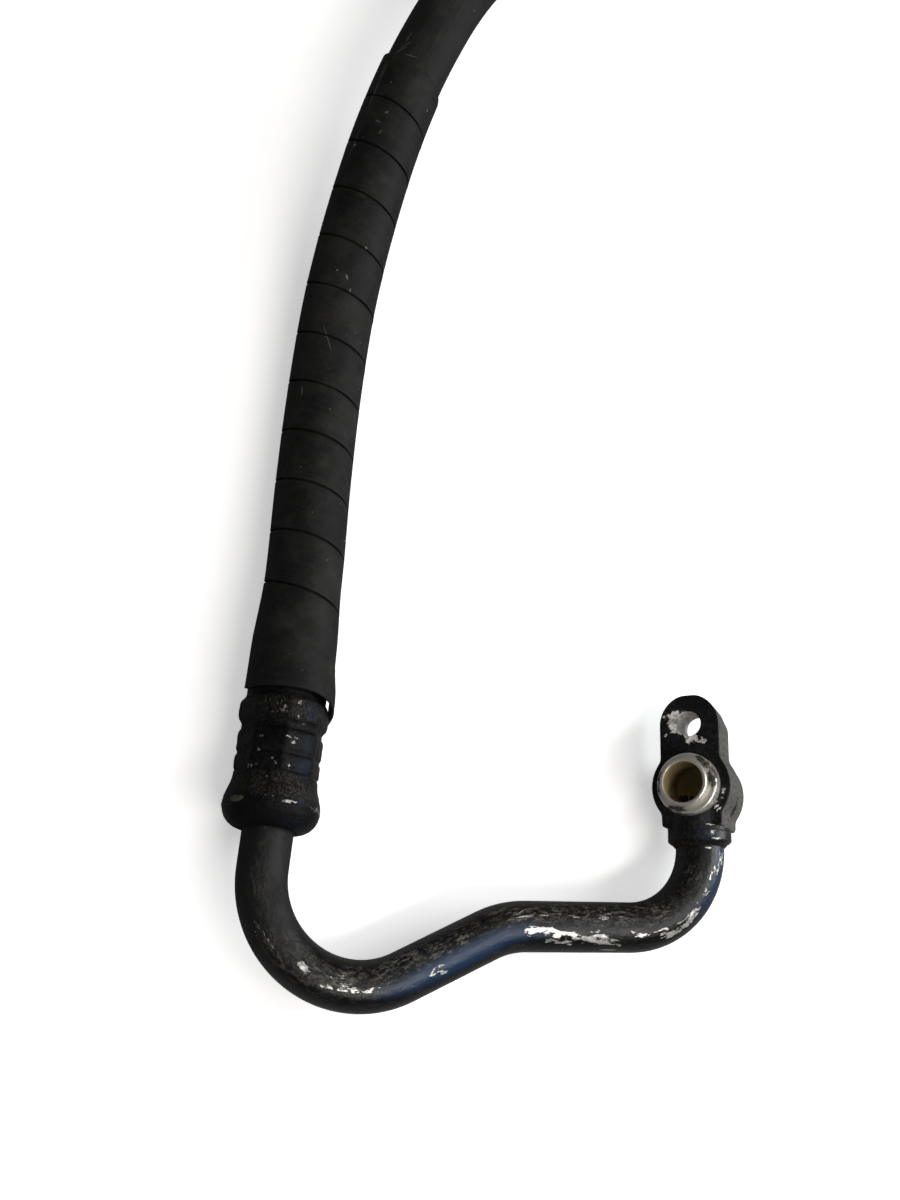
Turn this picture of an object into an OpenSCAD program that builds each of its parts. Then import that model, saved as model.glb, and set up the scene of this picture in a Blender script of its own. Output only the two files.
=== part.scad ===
// Hydraulic hose assembly: a flange block on a bent metal tube, a crimped rubber hose in a
// spiral guard, and a swivel nut at the far end. Millimetres, +Z up, resting on Z = 0.

/* [Tube] */
// Outside diameter of the bent metal tube
tube_od = 16; // [14:0.5:18]
// Wall thickness of the metal tube
tube_wall = 1.5; // [1:0.1:2.5]
// Centreline radius of the two bends nearer the hose
wide_bend_r = 31; // [26:1:38]
// Centreline radius of the bend beside the block
tight_bend_r = 27; // [22:1:32]
// Straight run between the block's neck and its bend
run_block = 1.5; // [1.5:0.5:20]
// Angle turned by the bend beside the block
bend_block = 88; // [60:1:110]
// Straight run between the tight bend and the shallow bend
run_middle = 35.8; // [10:0.1:60]
// Angle turned by the shallow bend
bend_middle = 25; // [10:1:40]
// Straight run between the shallow bend and the hook bend
run_long = 30; // [10:0.5:60]
// Angle turned by the hook bend beside the hose
bend_hook = 122; // [90:1:130]
// Straight run between the hook bend and the ferrule
run_hose = 10.5; // [4:0.5:40]

/* [Flange block] */
// Thickness of the block along the port
block_t = 16; // [14:0.5:20]
// Thickness of the bolt ear, from the mating face
ear_t = 11; // [8:0.5:14]
// Radius of the round boss around the port
boss_r = 13.5; // [12.5:0.5:17]
// Half width of the block's straight sides, and the radius of the bolt ear
ear_r = 10.2; // [9:0.2:12]
// Distance from the port to the bolt hole
hole_spacing = 21; // [21:0.5:26]
// Diameter of the bolt hole, a clearance hole for an M8 bolt
bolt_hole_d = 8.4; // [6.6:0.2:9]
// How far the block's straight foot reaches below the port
foot_y = 13.5; // [13:0.5:18]
// Distance from the port to the end of the neck
neck_y = 18.3; // [18:0.1:26]
// Diameter of the neck that the tube is brazed into
neck_d = 21; // [20:0.2:22]
// Roll of the block about the tube, as the assembly lies on a table
block_roll = 45; // [30:1:60]

/* [Port spigot] */
// Bore of the port
port_bore_d = 13.4; // [10:0.2:13.6]
// Diameter of the shoulder that seats in the mating socket
shoulder_d = 20.8; // [19.4:0.2:23]
// Height of the shoulder above the block's face
shoulder_h = 4.5; // [2:0.5:6]
// Diameter of the pilot lip
lip_d = 16.2; // [15.4:0.2:18]
// Height of the pilot lip above its groove
lip_h = 2.3; // [2:0.1:6]
// Width of the relief groove between the shoulder and the lip
groove_w = 1; // [0.8:0.1:3]
// Thickness of the O-ring that seals the spigot in the block
port_ring_t = 1.4; // [1.4:0.1:2]

/* [Hose] */
// Outside diameter of the rubber hose
hose_od = 22.7; // [21:0.1:24]
// Bore of the rubber hose
hose_id = 12.7; // [12:0.1:13.5]
// Thickness of each of the two braids
braid_t = 0.6; // [0.3:0.1:1]
// Thickness of the rubber between the braids
friction_t = 0.6; // [0.3:0.1:1]
// Thickness of the outer cover
cover_t = 1.35; // [1:0.05:2]

/* [Spiral guard] */
// Wall of the spiral guard
guard_wall = 0.75; // [0.5:0.05:1.2]
// Pitch of the spiral guard's turns
guard_pitch = 18.1; // [14:0.1:22]
// Open slit between neighbouring turns
guard_slit = 0.6; // [0.5:0.1:2]
// Length of hose that the guard covers beyond the ferrule's mouth
guard_reach = 226; // [90:1:232]
// Length of ferrule that the guard covers
guard_overlap = 13.5; // [10:0.5:13.5]
// How far the guard's lip stands off the ferrule's ridge on one side
guard_lip = 0.6; // [0.4:0.1:1.2]

/* [Ferrule] */
// Largest radius of the ferrule, at its rolled collar
collar_r = 15.3; // [15:0.1:17]
// Wall of the crimped barrel
barrel_wall = 1.5; // [1.3:0.1:2]
// Wall of the ferrule at its mouth
mouth_wall = 1.1; // [0.8:0.1:1.3]
// Length of the ferrule
ferrule_len = 57; // [50:0.5:66]
// Number of crimping jaws, each of which leaves a rib
crimp_ribs = 8; // [6:1:10]

/* [Swivel nut] */
// Size of the nut across its flats
nut_af = 25.4; // [24.6:0.1:26.2]
// Length of the nut
nut_len = 20; // [18:0.5:26]
// Minor diameter of the nut's thread, for a 7/8-14 stud
nut_thread_d = 20.4; // [20:0.1:21]
// Diameter of the neck that the nut turns on
swivel_neck_d = 16; // [15:0.2:16.4]
// Bore of both hose inserts
insert_bore_d = 8.4; // [7:0.2:8.8]

/* [Fits] */
// Radial clearance of the nut on its neck
swivel_clearance = 0.08; // [0.02:0.01:0.1]
// Radial clearance of pressed and brazed joints
joint_clearance = 0.05; // [0.02:0.01:0.1]
// Radial clearance of the guard over the hose
guard_clearance = 0.35; // [0.3:0.05:0.6]

/* [Hidden] */
$fn = 64;

tube_r = tube_od / 2;
tube_bore_r = tube_r - tube_wall;

// The assembly lies with its bent tube level, at the height of the ferrule's collar.
lie_h = collar_r;

// How far the tube enters the block's neck, short of the thinner foot, and the floor of its socket
// in the hose insert.
neck_socket = max(2, neck_y - foot_y - 0.5);
socket_floor = 10.5;

// A place on the tube's route: [x, y, heading in degrees].
function run_on(p, len) = [p.x + len * cos(p.z), p.y + len * sin(p.z), p.z];
function bend_centre(p, a, r) = [p.x - sign(a) * r * sin(p.z), p.y + sign(a) * r * cos(p.z)];
function bend_on(p, a, r) = let(c = bend_centre(p, a, r), h = p.z + a)
    [c.x + sign(a) * r * sin(h), c.y - sign(a) * r * cos(h), h];

at_neck = [0, -neck_y, -90];
at_tight = run_on(at_neck, run_block);
at_middle = bend_on(at_tight, -bend_block, tight_bend_r);
at_shallow = run_on(at_middle, run_middle);
at_long = bend_on(at_shallow, bend_middle, wide_bend_r);
at_hook = run_on(at_long, run_long);
at_leg = bend_on(at_hook, -bend_hook, wide_bend_r);
at_ferrule = run_on(at_leg, run_hose);

// Places of the tube's rings, from its end in the block to its end in the hose insert.
tube_sides = 28;
bend_step = 7;
function bend_places(p, a, r) = let(n = ceil(abs(a) / bend_step))
    [for (i = [1:n]) bend_on(p, a * i / n, r)];
tube_places = concat(
    [run_on(at_neck, 0.2 - neck_socket), at_tight],
    bend_places(at_tight, -bend_block, tight_bend_r),
    [at_shallow],
    bend_places(at_shallow, bend_middle, wide_bend_r),
    [at_hook],
    bend_places(at_hook, -bend_hook, wide_bend_r),
    [run_on(at_ferrule, socket_floor - 0.2)]
);

// Outline of the metal end seen from above, which centres it on the origin.
hook_centre = bend_centre(at_hook, -bend_hook, wide_bend_r);
collar_mid = run_on(at_ferrule, 8.5);
block_half_x = boss_r * cos(block_roll) + block_t / 2 * sin(block_roll);
left_x = collar_mid.x - collar_r;
low_y = hook_centre.y - wide_bend_r - tube_r;
high_y = max(hole_spacing + ear_r, run_on(at_ferrule, ferrule_len).y + 1);
centre_x = (left_x + block_half_x) / 2;
centre_y = (low_y + high_y) / 2;

// Port levels, measured along the port from the tube's axis. The spigot's shoulder sits in a
// shallow recess in the block's face.
face_z = block_t / 2;
recess_z = face_z - 0.4;
shank_z = face_z - 5.5;
shank_r = 9.4;
shank_groove_r = shank_r - port_ring_t;
shank_groove_z = (shank_z + recess_z) / 2;
groove_z = face_z + shoulder_h;
lip_z = groove_z + groove_w;
tip_z = lip_z + lip_h;
port_groove_r = lip_d / 2 - 0.4;

// Hose layers, from the bore outwards. A layer is a twelve-sided tube, so its bore is widened to
// clear a round insert of the hose's own bore.
hose_sides = 12;
hose_r = hose_od / 2;
inner_r = hose_id / 2 / cos(180 / hose_sides);
cover_r = hose_r - cover_t;
outer_braid_r = cover_r - braid_t;
friction_r = outer_braid_r - friction_t;
inner_braid_r = friction_r - braid_t;

// Stations along a hose end, measured from the closed end of its ferrule towards the hose.
cup_floor = 3.5;
socket_start = cup_floor + 0.1;
shoulder_end = 12.5;
hose_start = shoulder_end + 0.1;
insert_end = ferrule_len - 3;
insert_r = hose_id / 2 - joint_clearance;
insert_bore_r = insert_bore_d / 2;
valley_r = insert_r - 0.55;
insert_shoulder_r = cover_r + 0.2;
ring_t = 1.25;
ring_groove_r = insert_r - ring_t;
ring_stations = [20, 26];
ferrule_bore_r = hose_r + joint_clearance;
barrel_r = ferrule_bore_r + barrel_wall;
mouth_r = ferrule_bore_r + mouth_wall;
ridge_r = barrel_r + 0.95;
ridge_start = ferrule_len - 23;
ridge_end = ferrule_len - 15.5;
waist = 18;

// Stations along the far end's neck, measured away from the hose.
nut_back = 2.5;
wire_t = 1.4;
wire_station = nut_back + 2.6;
bead_start = nut_back + 5.6;
bead_w = 2.4;
pilot_end = nut_back + nut_len - 1.5;
neck_r = swivel_neck_d / 2;
nut_bore_r = neck_r + swivel_clearance;
nut_floor = bead_start - 0.1;
bead_r = nut_thread_d / 2 - 0.5;
pilot_r = neck_r - 1.1;
nut_thread_r = nut_thread_d / 2;
far_ring_t = 1.9;
seat_r = pilot_r - 0.3;
seat_end = bead_start + bead_w + far_ring_t + 0.2;

// The hose's route beyond the ferrule's mouth: across, along and above the ferrule's axis.
ROUTE = [
    [0, 25, 0], [-1, 60, -2], [-1.5, 95, -2.5], [-1, 130, 0], [2, 165, 4.5], [7, 198, 9],
    [15, 230, 12.5], [27, 262, 14], [45, 292, 13], [69, 320, 10], [98, 344, 6], [130, 362, 2.5],
    [163, 374, 0]
];
far_run = 24;

function unit(v) = v / norm(v);
route_last = ROUTE[len(ROUTE) - 1];
route_before = ROUTE[len(ROUTE) - 2];
far_heading = unit([route_last.x - route_before.x, route_last.y - route_before.y, 0]);
far_mouth = route_last + far_run * far_heading;
far_floor = far_mouth + (ferrule_len - hose_start) * far_heading;
mouth_y = [0, ferrule_len, 0];
hose_path = concat(
    [[0, hose_start, 0]],
    [for (p = ROUTE) p + mouth_y],
    [far_floor + mouth_y]
);

// Length along the path at each of its points.
function lengths(path, i = 0, sum = 0) = i == len(path) - 1 ? [sum]
    : concat([sum], lengths(path, i + 1, sum + norm(path[i + 1] - path[i])));
hose_s = lengths(hose_path);
hose_length = hose_s[len(hose_s) - 1];

// Axes of the ring at point i of the path: the right-hand side and the upper side.
function path_dir(i) = let(n = len(hose_path) - 1)
    i == 0 ? unit(hose_path[1] - hose_path[0])
    : i == n ? unit(hose_path[n] - hose_path[n - 1])
    : unit(unit(hose_path[i + 1] - hose_path[i]) + unit(hose_path[i] - hose_path[i - 1]));
function side_axis(i) = unit(cross(path_dir(i), [0, 0, 1]));
function up_axis(i) = cross(side_axis(i), path_dir(i));
function ring_point(i, r, a) = hose_path[i] + r * (cos(a) * side_axis(i) + sin(a) * up_axis(i));

// A point on the hose at length s, radius r and angle a, on the flat facets between two rings.
function segment_of(s, i = 0) = i >= len(hose_s) - 2 || s < hose_s[i + 1] ? i : segment_of(s, i + 1);
function hose_point(s, r, a) = let(
    i = segment_of(s),
    f = (s - hose_s[i]) / (hose_s[i + 1] - hose_s[i])
) (1 - f) * ring_point(i, r, a) + f * ring_point(i + 1, r, a);

// The spiral guard: one flat strip wound from the ferrule's barrel up the hose. Its first turn is
// trimmed nearly square to the hose, which makes a lip that stands off the ferrule on one side.
guard_mouth = ferrule_len - hose_start;
guard_lip_s = guard_mouth - guard_overlap;
guard_start = guard_lip_s - guard_pitch / 2;
guard_strip = guard_pitch - guard_slit;
guard_steps = 24;
guard_turns = (guard_mouth + guard_reach - guard_strip - guard_start) / guard_pitch;
guard_count = round(guard_turns * guard_steps);
guard_angle = -12;
guard_tip_drop = 6;
guard_tip_sweep = 100;
guard_on_hose_r = hose_r + guard_clearance;
guard_on_mouth_r = mouth_r + guard_clearance;
guard_settle = 26;

function smooth(f) = let(c = max(0, min(1, f))) c * c * (3 - 2 * c);
function guard_bore(s, a) = guard_on_mouth_r
    + (guard_on_hose_r - guard_on_mouth_r) * smooth((s - guard_mouth) / guard_settle)
    + (ridge_r + guard_lip - guard_on_mouth_r) * (1 + cos(a)) / 2
        * (1 - smooth((s - guard_lip_s) / guard_overlap));
function guard_section(k) = let(
    turned = 360 * k / guard_steps,
    a = guard_angle + turned,
    helix = guard_start + k * guard_pitch / guard_steps,
    trim = guard_lip_s - guard_tip_drop * pow(1 - min(1, turned / guard_tip_sweep), 2),
    low = max(helix, trim),
    high = helix + guard_strip,
    mid = (low + high) / 2
) [
    for (e = [[low, 0], [low, 1], [mid, 1], [high, 1], [high, 0], [mid, 0]])
        hose_point(e[0], guard_bore(e[0], a) + e[1] * guard_wall, a)
];
guard_sections = [for (k = [0:guard_count]) guard_section(k)];

// Least distance between one turn's upper edge and the next turn's lower edge.
guard_gap = min([
    for (k = [0:guard_count - guard_steps]) let(a = guard_sections[k], b = guard_sections[k + guard_steps])
        min([for (p = [a[3], a[4]]) for (q = [b[0], b[1]]) norm(p - q)])
]);
echo(guard_turns = guard_turns, guard_gap = guard_gap, hose_length = hose_length);

// Faces of a row of closed loops with n points each: its sides, and a flat end.
function loop_sides(rings, n) = [
    for (i = [0:rings - 2], j = [0:n - 1], half = [0, 1])
        let(a = i * n + j, b = i * n + (j + 1) % n)
        half == 0 ? [a, b, a + n] : [b, b + n, a + n]
];
function loop_cap(first, n, flip) = [
    for (j = [1:n - 2]) flip ? [first, first + j + 1, first + j] : [first, first + j, first + j + 1]
];

// A hollow tube as one closed skin: rings of n points each, first its outside and then its bore.
module tube_skin(outside, bore, n) {
    rings = len(outside) / n;
    inner = rings * n;
    last = (rings - 1) * n;
    sides = loop_sides(rings, n);
    bore_sides = [for (f = sides) [f[2] + inner, f[1] + inner, f[0] + inner]];
    near_end = [
        for (j = [0:n - 1], half = [0, 1]) let(k = (j + 1) % n)
            half == 0 ? [k, j, j + inner] : [k, j + inner, k + inner]
    ];
    far_end = [
        for (j = [0:n - 1], half = [0, 1]) let(k = (j + 1) % n)
            half == 0 ? [last + j, last + k, last + j + inner]
            : [last + k, last + k + inner, last + j + inner]
    ];
    polyhedron(concat(outside, bore), concat(sides, bore_sides, near_end, far_end));
}

// A tube along the hose's path between two radii.
module hose_layer(r_in, r_out) {
    skins = [
        for (r = [r_out, r_in]) [
            for (i = [0:len(hose_path) - 1], j = [0:hose_sides - 1])
                ring_point(i, r, 360 * (j + 0.5) / hose_sides)
        ]
    ];
    tube_skin(skins[0], skins[1], hose_sides);
}

// Puts a shape that is drawn around the tube's axis at the block.
module at_block() {
    translate([-centre_x, -centre_y, lie_h])
        rotate([0, -block_roll, 0])
            children();
}

// Puts a shape that is drawn along +Y, from the ferrule's closed end, at the near hose end.
module at_hose_end() {
    translate([at_ferrule.x - centre_x, at_ferrule.y - centre_y, lie_h])
        rotate([0, 0, at_ferrule.z - 90])
            children();
}

// Puts a shape that is drawn along +Y towards the hose at the far hose end.
module at_far_end() {
    end = far_floor + mouth_y + hose_start * far_heading;
    at_hose_end()
        translate(end)
            rotate([0, 0, atan2(-far_heading.y, -far_heading.x) - 90])
                children();
}

// Turns a profile drawn as [radius, station] about the Y axis.
module turned(points) {
    rotate([-90, 0, 0])
        rotate_extrude()
            polygon(points);
}

module ring(r, t, station) {
    translate([0, station, 0])
        rotate([-90, 0, 0])
            rotate_extrude()
                translate([r, 0])
                    circle(d = t, $fn = 24);
}

module block_slab(y_low, y_high, z_low, z_high) {
    translate([-ear_r, y_low, z_low])
        cube([2 * ear_r, y_high - y_low, z_high - z_low]);
}

module flange_block() {
    ear_back = face_z - ear_t;
    ear_foot = boss_r * 0.8;
    socket_r = tube_r + joint_clearance;
    channel_r = min(tube_bore_r, face_z - 1);
    color("dimgray")
        at_block()
            difference() {
                union() {
                    translate([0, 0, -face_z]) cylinder(r = boss_r, h = block_t);
                    translate([0, hole_spacing, ear_back]) cylinder(r = ear_r, h = ear_t);
                    block_slab(0, hole_spacing, ear_back, face_z);
                    block_slab(-foot_y, ear_foot, -face_z, face_z);
                    turned([[0, -neck_y], [neck_d / 2 - 0.6, -neck_y], [neck_d / 2, -neck_y + 0.6],
                        [neck_d / 2, -foot_y], [0, -foot_y + 4]]);
                }
                translate([0, hole_spacing, -face_z - 1])
                    cylinder(d = bolt_hole_d, h = block_t + 2);
                translate([0, 0, shank_z])
                    cylinder(r = shank_r + joint_clearance, h = face_z);
                translate([0, 0, recess_z])
                    cylinder(r = shoulder_d / 2 + 0.15, h = face_z);
                cylinder(d = port_bore_d, h = face_z);
                sphere(d = port_bore_d);
                turned([[0, 0], [channel_r, 0], [channel_r, -neck_y - 1], [0, -neck_y - 1]]);
                turned([[0, -neck_y + neck_socket], [socket_r, -neck_y + neck_socket],
                    [socket_r, -neck_y - 1], [0, -neck_y - 1]]);
            }
}

module port_spigot() {
    bore_r = port_bore_d / 2;
    shoulder_r = shoulder_d / 2;
    lip_r = lip_d / 2;
    w = port_ring_t / 2 + 0.1;
    color("gainsboro")
        at_block()
            rotate_extrude()
                polygon([[bore_r, shank_z + 0.1], [shank_r, shank_z + 0.1],
                    [shank_r, shank_groove_z - w], [shank_groove_r - 0.1, shank_groove_z - w],
                    [shank_groove_r - 0.1, shank_groove_z + w], [shank_r, shank_groove_z + w],
                    [shank_r, recess_z + 0.05],
                    [shoulder_r - 0.3, recess_z + 0.05], [shoulder_r, recess_z + 0.35],
                    [shoulder_r, groove_z - 0.9], [shoulder_r - 0.25, groove_z - 0.3],
                    [shoulder_r - 0.8, groove_z], [port_groove_r, groove_z], [port_groove_r, lip_z],
                    [lip_r, lip_z], [lip_r, tip_z - 0.6], [lip_r - 0.5, tip_z],
                    [bore_r + 0.4, tip_z], [bore_r, tip_z - 0.4]]);
}

module port_o_ring() {
    color("black")
        at_block()
            translate([0, 0, shank_groove_z])
                rotate_extrude()
                    translate([shank_groove_r + port_ring_t / 2, 0])
                        circle(d = port_ring_t, $fn = 24);
}

// The fillet of braze where the tube enters the block's neck.
module block_braze() {
    run = min(1.4, run_block - 0.1);
    r = tube_r + joint_clearance;
    color("goldenrod")
        at_block()
            turned([[r, -neck_y - 0.05], [r, -neck_y - run], [r + 0.3, -neck_y - run],
                [r + 0.9, -neck_y - run / 2], [r + 1.5, -neck_y - 0.05]]);
}

module bent_tube() {
    skins = [
        for (r = [tube_r, tube_bore_r]) [
            for (p = tube_places, j = [0:tube_sides - 1]) let(a = 360 * j / tube_sides)
                [p.x + r * cos(a) * sin(p.z), p.y - r * cos(a) * cos(p.z), r * sin(a)]
        ]
    ];
    color("darkslategray")
        translate([-centre_x, -centre_y, lie_h])
            tube_skin(skins[0], skins[1], tube_sides);
}

// The barbed tail that both hose inserts share, from their shoulder to their tip.
function barb_points() = let(
    first = 30,
    pitch = 3.4,
    count = floor((insert_end - 3 - first) / pitch)
) concat(
    [[insert_r, shoulder_end]],
    [for (s = ring_stations, e = [[insert_r, -1], [ring_groove_r, -1], [ring_groove_r, 1], [insert_r, 1]])
        [e[0], s + e[1] * (ring_t / 2 + 0.15)]],
    [for (i = [0:count - 1], e = [[insert_r, 0], [valley_r, 0.4], [valley_r, 1.4]])
        [e[0], first + i * pitch + e[1]]],
    [[insert_r, first + count * pitch], [insert_r, insert_end - 1.5], [valley_r, insert_end],
        [insert_bore_r, insert_end]]
);

// The near insert: a socket for the tube, inside the ferrule, and the barbed tail.
module hose_insert() {
    socket_r = tube_r + joint_clearance;
    color("lightsteelblue")
        at_hose_end()
            turned(concat([[insert_bore_r, socket_floor], [socket_r, socket_floor],
                [socket_r, socket_start], [insert_shoulder_r, socket_start],
                [insert_shoulder_r, shoulder_end]], barb_points()));
}

module tail_rings() {
    for (s = ring_stations) ring(ring_groove_r + ring_t / 2, ring_t - 2 * joint_clearance, s);
}

module insert_o_rings() {
    color("black") at_hose_end() tail_rings();
}

// A crimped shell: a rolled collar round its closed end, then a barrel with pressed bands.
module ferrule_shell(inner_neck_r) {
    hole_r = inner_neck_r + joint_clearance;
    span = ridge_start - waist;
    bands = [for (b = [[0.02, 0.1], [0.25, 0.45], [0.74, 0.96]])
        [waist + b[0] * span, waist + b[1] * span]];
    dome = [for (a = [0:15:90]) [hole_r + 0.3 + (collar_r - hole_r - 0.3) * sin(a), 7 * (1 - cos(a))]];
    flare = [for (a = [15:15:90])
        [barrel_r + (collar_r - barrel_r) * (1 + cos(2 * a)) / 2, 10.5 + (waist - 10.5) * a / 90]];
    pressed = [for (b = bands, e = [[barrel_r, b[0]], [barrel_r - 0.45, b[0] + 0.5],
        [barrel_r - 0.45, b[1] - 0.5], [barrel_r, b[1]]]) e];
    ridge = [[barrel_r, ridge_start], [ridge_r - 0.05, ridge_start + 1], [ridge_r, ridge_end - 2]];
    difference() {
        union() {
            turned(concat([[hole_r, 0]], dome, [[collar_r, 10.5]], flare, pressed, ridge,
                [[mouth_r, ridge_end], [mouth_r, ferrule_len - 0.5], [mouth_r - 0.5, ferrule_len],
                    [ferrule_bore_r, ferrule_len], [ferrule_bore_r, cup_floor], [hole_r, cup_floor]]));
            for (i = [0:crimp_ribs - 1])
                rotate([0, 360 * i / crimp_ribs, 0])
                    translate([ferrule_bore_r + 0.5, waist + 0.5, -0.5])
                        cube([barrel_wall - 0.5 + 0.25, span - 1, 1]);
        }
        turned([[0, cup_floor], [ferrule_bore_r, cup_floor], [ferrule_bore_r, ferrule_len + 1],
            [0, ferrule_len + 1]]);
    }
}

module crimp_ferrule() {
    color("dimgray") at_hose_end() ferrule_shell(tube_r);
}

module hose_inner_tube() {
    color("#202020") at_hose_end() hose_layer(inner_r, inner_braid_r);
}

module hose_inner_braid() {
    color("tan") at_hose_end() hose_layer(inner_braid_r, friction_r);
}

module hose_friction_layer() {
    color("#303030") at_hose_end() hose_layer(friction_r, outer_braid_r);
}

module hose_outer_braid() {
    color("tan") at_hose_end() hose_layer(outer_braid_r, cover_r);
}

module hose_cover() {
    color("#2a2a2a") at_hose_end() hose_layer(cover_r, hose_r);
}

module spiral_guard() {
    n = len(guard_sections[0]);
    rings = guard_count + 1;
    color("#3a3a3a")
        at_hose_end()
            polyhedron([for (section = guard_sections) each section],
                concat(loop_sides(rings, n), loop_cap(0, n, true), loop_cap((rings - 1) * n, n, false)));
}

module far_ferrule() {
    color("dimgray") at_far_end() ferrule_shell(neck_r);
}

// The far insert: the barbed tail, a neck with a bead for the nut, and a pilot.
module far_insert() {
    wire_groove_r = neck_r - wire_t / 2 - 0.1;
    w = wire_t / 2 + 0.1;
    color("lightsteelblue")
        at_far_end()
            turned(concat([[insert_bore_r, -pilot_end], [pilot_r - 0.6, -pilot_end],
                [pilot_r, -pilot_end + 0.8], [pilot_r, -seat_end], [seat_r, -seat_end],
                [seat_r, -bead_start - bead_w],
                [bead_r - 0.4, -bead_start - bead_w], [bead_r, -bead_start - bead_w + 0.4],
                [bead_r, -bead_start], [neck_r, -bead_start],
                [neck_r, -wire_station - w], [wire_groove_r, -wire_station - w],
                [wire_groove_r, -wire_station + w], [neck_r, -wire_station + w],
                [neck_r, socket_start], [insert_shoulder_r, socket_start],
                [insert_shoulder_r, shoulder_end]], barb_points()));
}

module far_insert_o_rings() {
    color("black") at_far_end() tail_rings();
}

module swivel_nut() {
    corner_r = nut_af / 2 / cos(30);
    w = wire_t / 2 + 0.1;
    color("silver")
        at_far_end()
            difference() {
                intersection() {
                    rotate([90, 0, 0])
                        translate([0, 0, nut_back])
                            cylinder(r = corner_r, h = nut_len, $fn = 6);
                    turned([[0, -nut_back], [nut_af / 2 - 0.2, -nut_back], [corner_r, -nut_back - 1.2],
                        [corner_r, -nut_back - nut_len + 1.2], [nut_af / 2 - 0.2, -nut_back - nut_len],
                        [0, -nut_back - nut_len]]);
                }
                turned([[0, 0], [nut_bore_r, 0], [nut_bore_r, -nut_floor], [0, -nut_floor]]);
                turned([[0, -nut_floor], [nut_thread_r, -nut_floor],
                    [nut_thread_r, -nut_back - nut_len - 1], [0, -nut_back - nut_len - 1]]);
                turned([[0, -wire_station + w], [neck_r + w, -wire_station + w],
                    [neck_r + w, -wire_station - w], [0, -wire_station - w]]);
            }
}

module nut_retaining_wire() {
    color("silver") at_far_end() ring(neck_r, wire_t, -wire_station);
}

module far_o_ring() {
    color("black")
        at_far_end()
            ring(seat_r + far_ring_t / 2 + joint_clearance, far_ring_t,
                -bead_start - bead_w - far_ring_t / 2 - 0.1);
}

flange_block();
port_spigot();
port_o_ring();
block_braze();
bent_tube();
hose_insert();
insert_o_rings();
crimp_ferrule();
hose_inner_tube();
hose_inner_braid();
hose_friction_layer();
hose_outer_braid();
hose_cover();
spiral_guard();
far_ferrule();
far_insert();
far_insert_o_rings();
swivel_nut();
nut_retaining_wire();
far_o_ring();
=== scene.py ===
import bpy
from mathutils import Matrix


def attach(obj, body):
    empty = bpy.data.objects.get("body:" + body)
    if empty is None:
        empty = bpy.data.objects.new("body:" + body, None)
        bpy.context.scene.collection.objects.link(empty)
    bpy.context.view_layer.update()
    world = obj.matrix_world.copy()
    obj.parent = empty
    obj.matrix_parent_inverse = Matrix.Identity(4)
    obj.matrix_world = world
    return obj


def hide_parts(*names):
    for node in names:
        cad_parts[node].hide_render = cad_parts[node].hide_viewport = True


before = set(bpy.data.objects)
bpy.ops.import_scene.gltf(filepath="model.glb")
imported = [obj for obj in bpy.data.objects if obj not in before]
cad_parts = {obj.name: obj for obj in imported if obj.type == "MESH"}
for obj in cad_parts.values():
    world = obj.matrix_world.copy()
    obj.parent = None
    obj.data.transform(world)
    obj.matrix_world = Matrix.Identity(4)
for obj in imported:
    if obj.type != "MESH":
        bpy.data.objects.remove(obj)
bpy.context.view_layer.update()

import math

import bpy
import numpy as np
from mathutils import Matrix, Vector

# The view: a phone camera held over the hooked tube, looking down on the table, a little forward
# and to the right.
view_place = (-0.155045, -0.070740, 0.469815)
view_right = (0.954513, 0.018899, 0.297571)
view_down = (0.106430, -0.953843, -0.280812)
view_ahead = (0.278529, 0.299709, -0.912467)


def placed(name, data):
    """An object in the scene for a mesh, a lamp or the camera."""
    thing = bpy.data.objects.new(name, data)
    bpy.context.scene.collection.objects.link(thing)
    return thing


camera = placed("camera", bpy.data.cameras.new("camera"))
bpy.context.scene.camera = camera
camera.data.lens = 45
camera.data.sensor_width = 36
camera.data.clip_start = 0.01
camera.matrix_world = Matrix([
    [right, -down, -ahead, place]
    for right, down, ahead, place in zip(view_right, view_down, view_ahead, view_place)
] + [[0, 0, 0, 1]])

# The rubber hose: an extruded lining, two braids with a rubber layer between them, and a cover,
# cured together as one hose. It leaves the ferrule and runs on over the table to its far end.
mm = 0.001
hose_radii = {
    "hose_cover": (11.35, 10.0), "hose_outer_braid": (10.0, 9.4),
    "hose_friction_layer": (9.4, 8.8), "hose_inner_braid": (8.8, 8.2), "hose_inner_tube": (8.2, 6.35),
}
hose_start = 12.6
hose_tuck = 25
hose_route = [
    [0, 25, 0], [-1, 60, -2], [-1.5, 95, -2.5], [-1, 130, 0], [2, 165, 4.5], [7, 198, 9],
    [15, 230, 12.4], [27, 262, 13.55], [45, 292, 12.8], [69, 320, 10], [98, 344, 6], [130, 362, 2.5],
    [163, 374, 0],
]
far_straight, cover_sides = 24, 56
# The route runs on from the near ferrule's mouth. That ferrule rests on its collar, and its place
# and turn on the table set where the hose lies.
near_x, near_y, near_turn = -73.1211, -2.8106, -5
ferrule_length, collar_r = 57, 15.3
mouth_s = ferrule_length - hose_start
near_end = Matrix.Translation((near_x * mm, near_y * mm, collar_r * mm)) @ Matrix.Rotation(
    math.radians(near_turn), 4, "Z")

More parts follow.
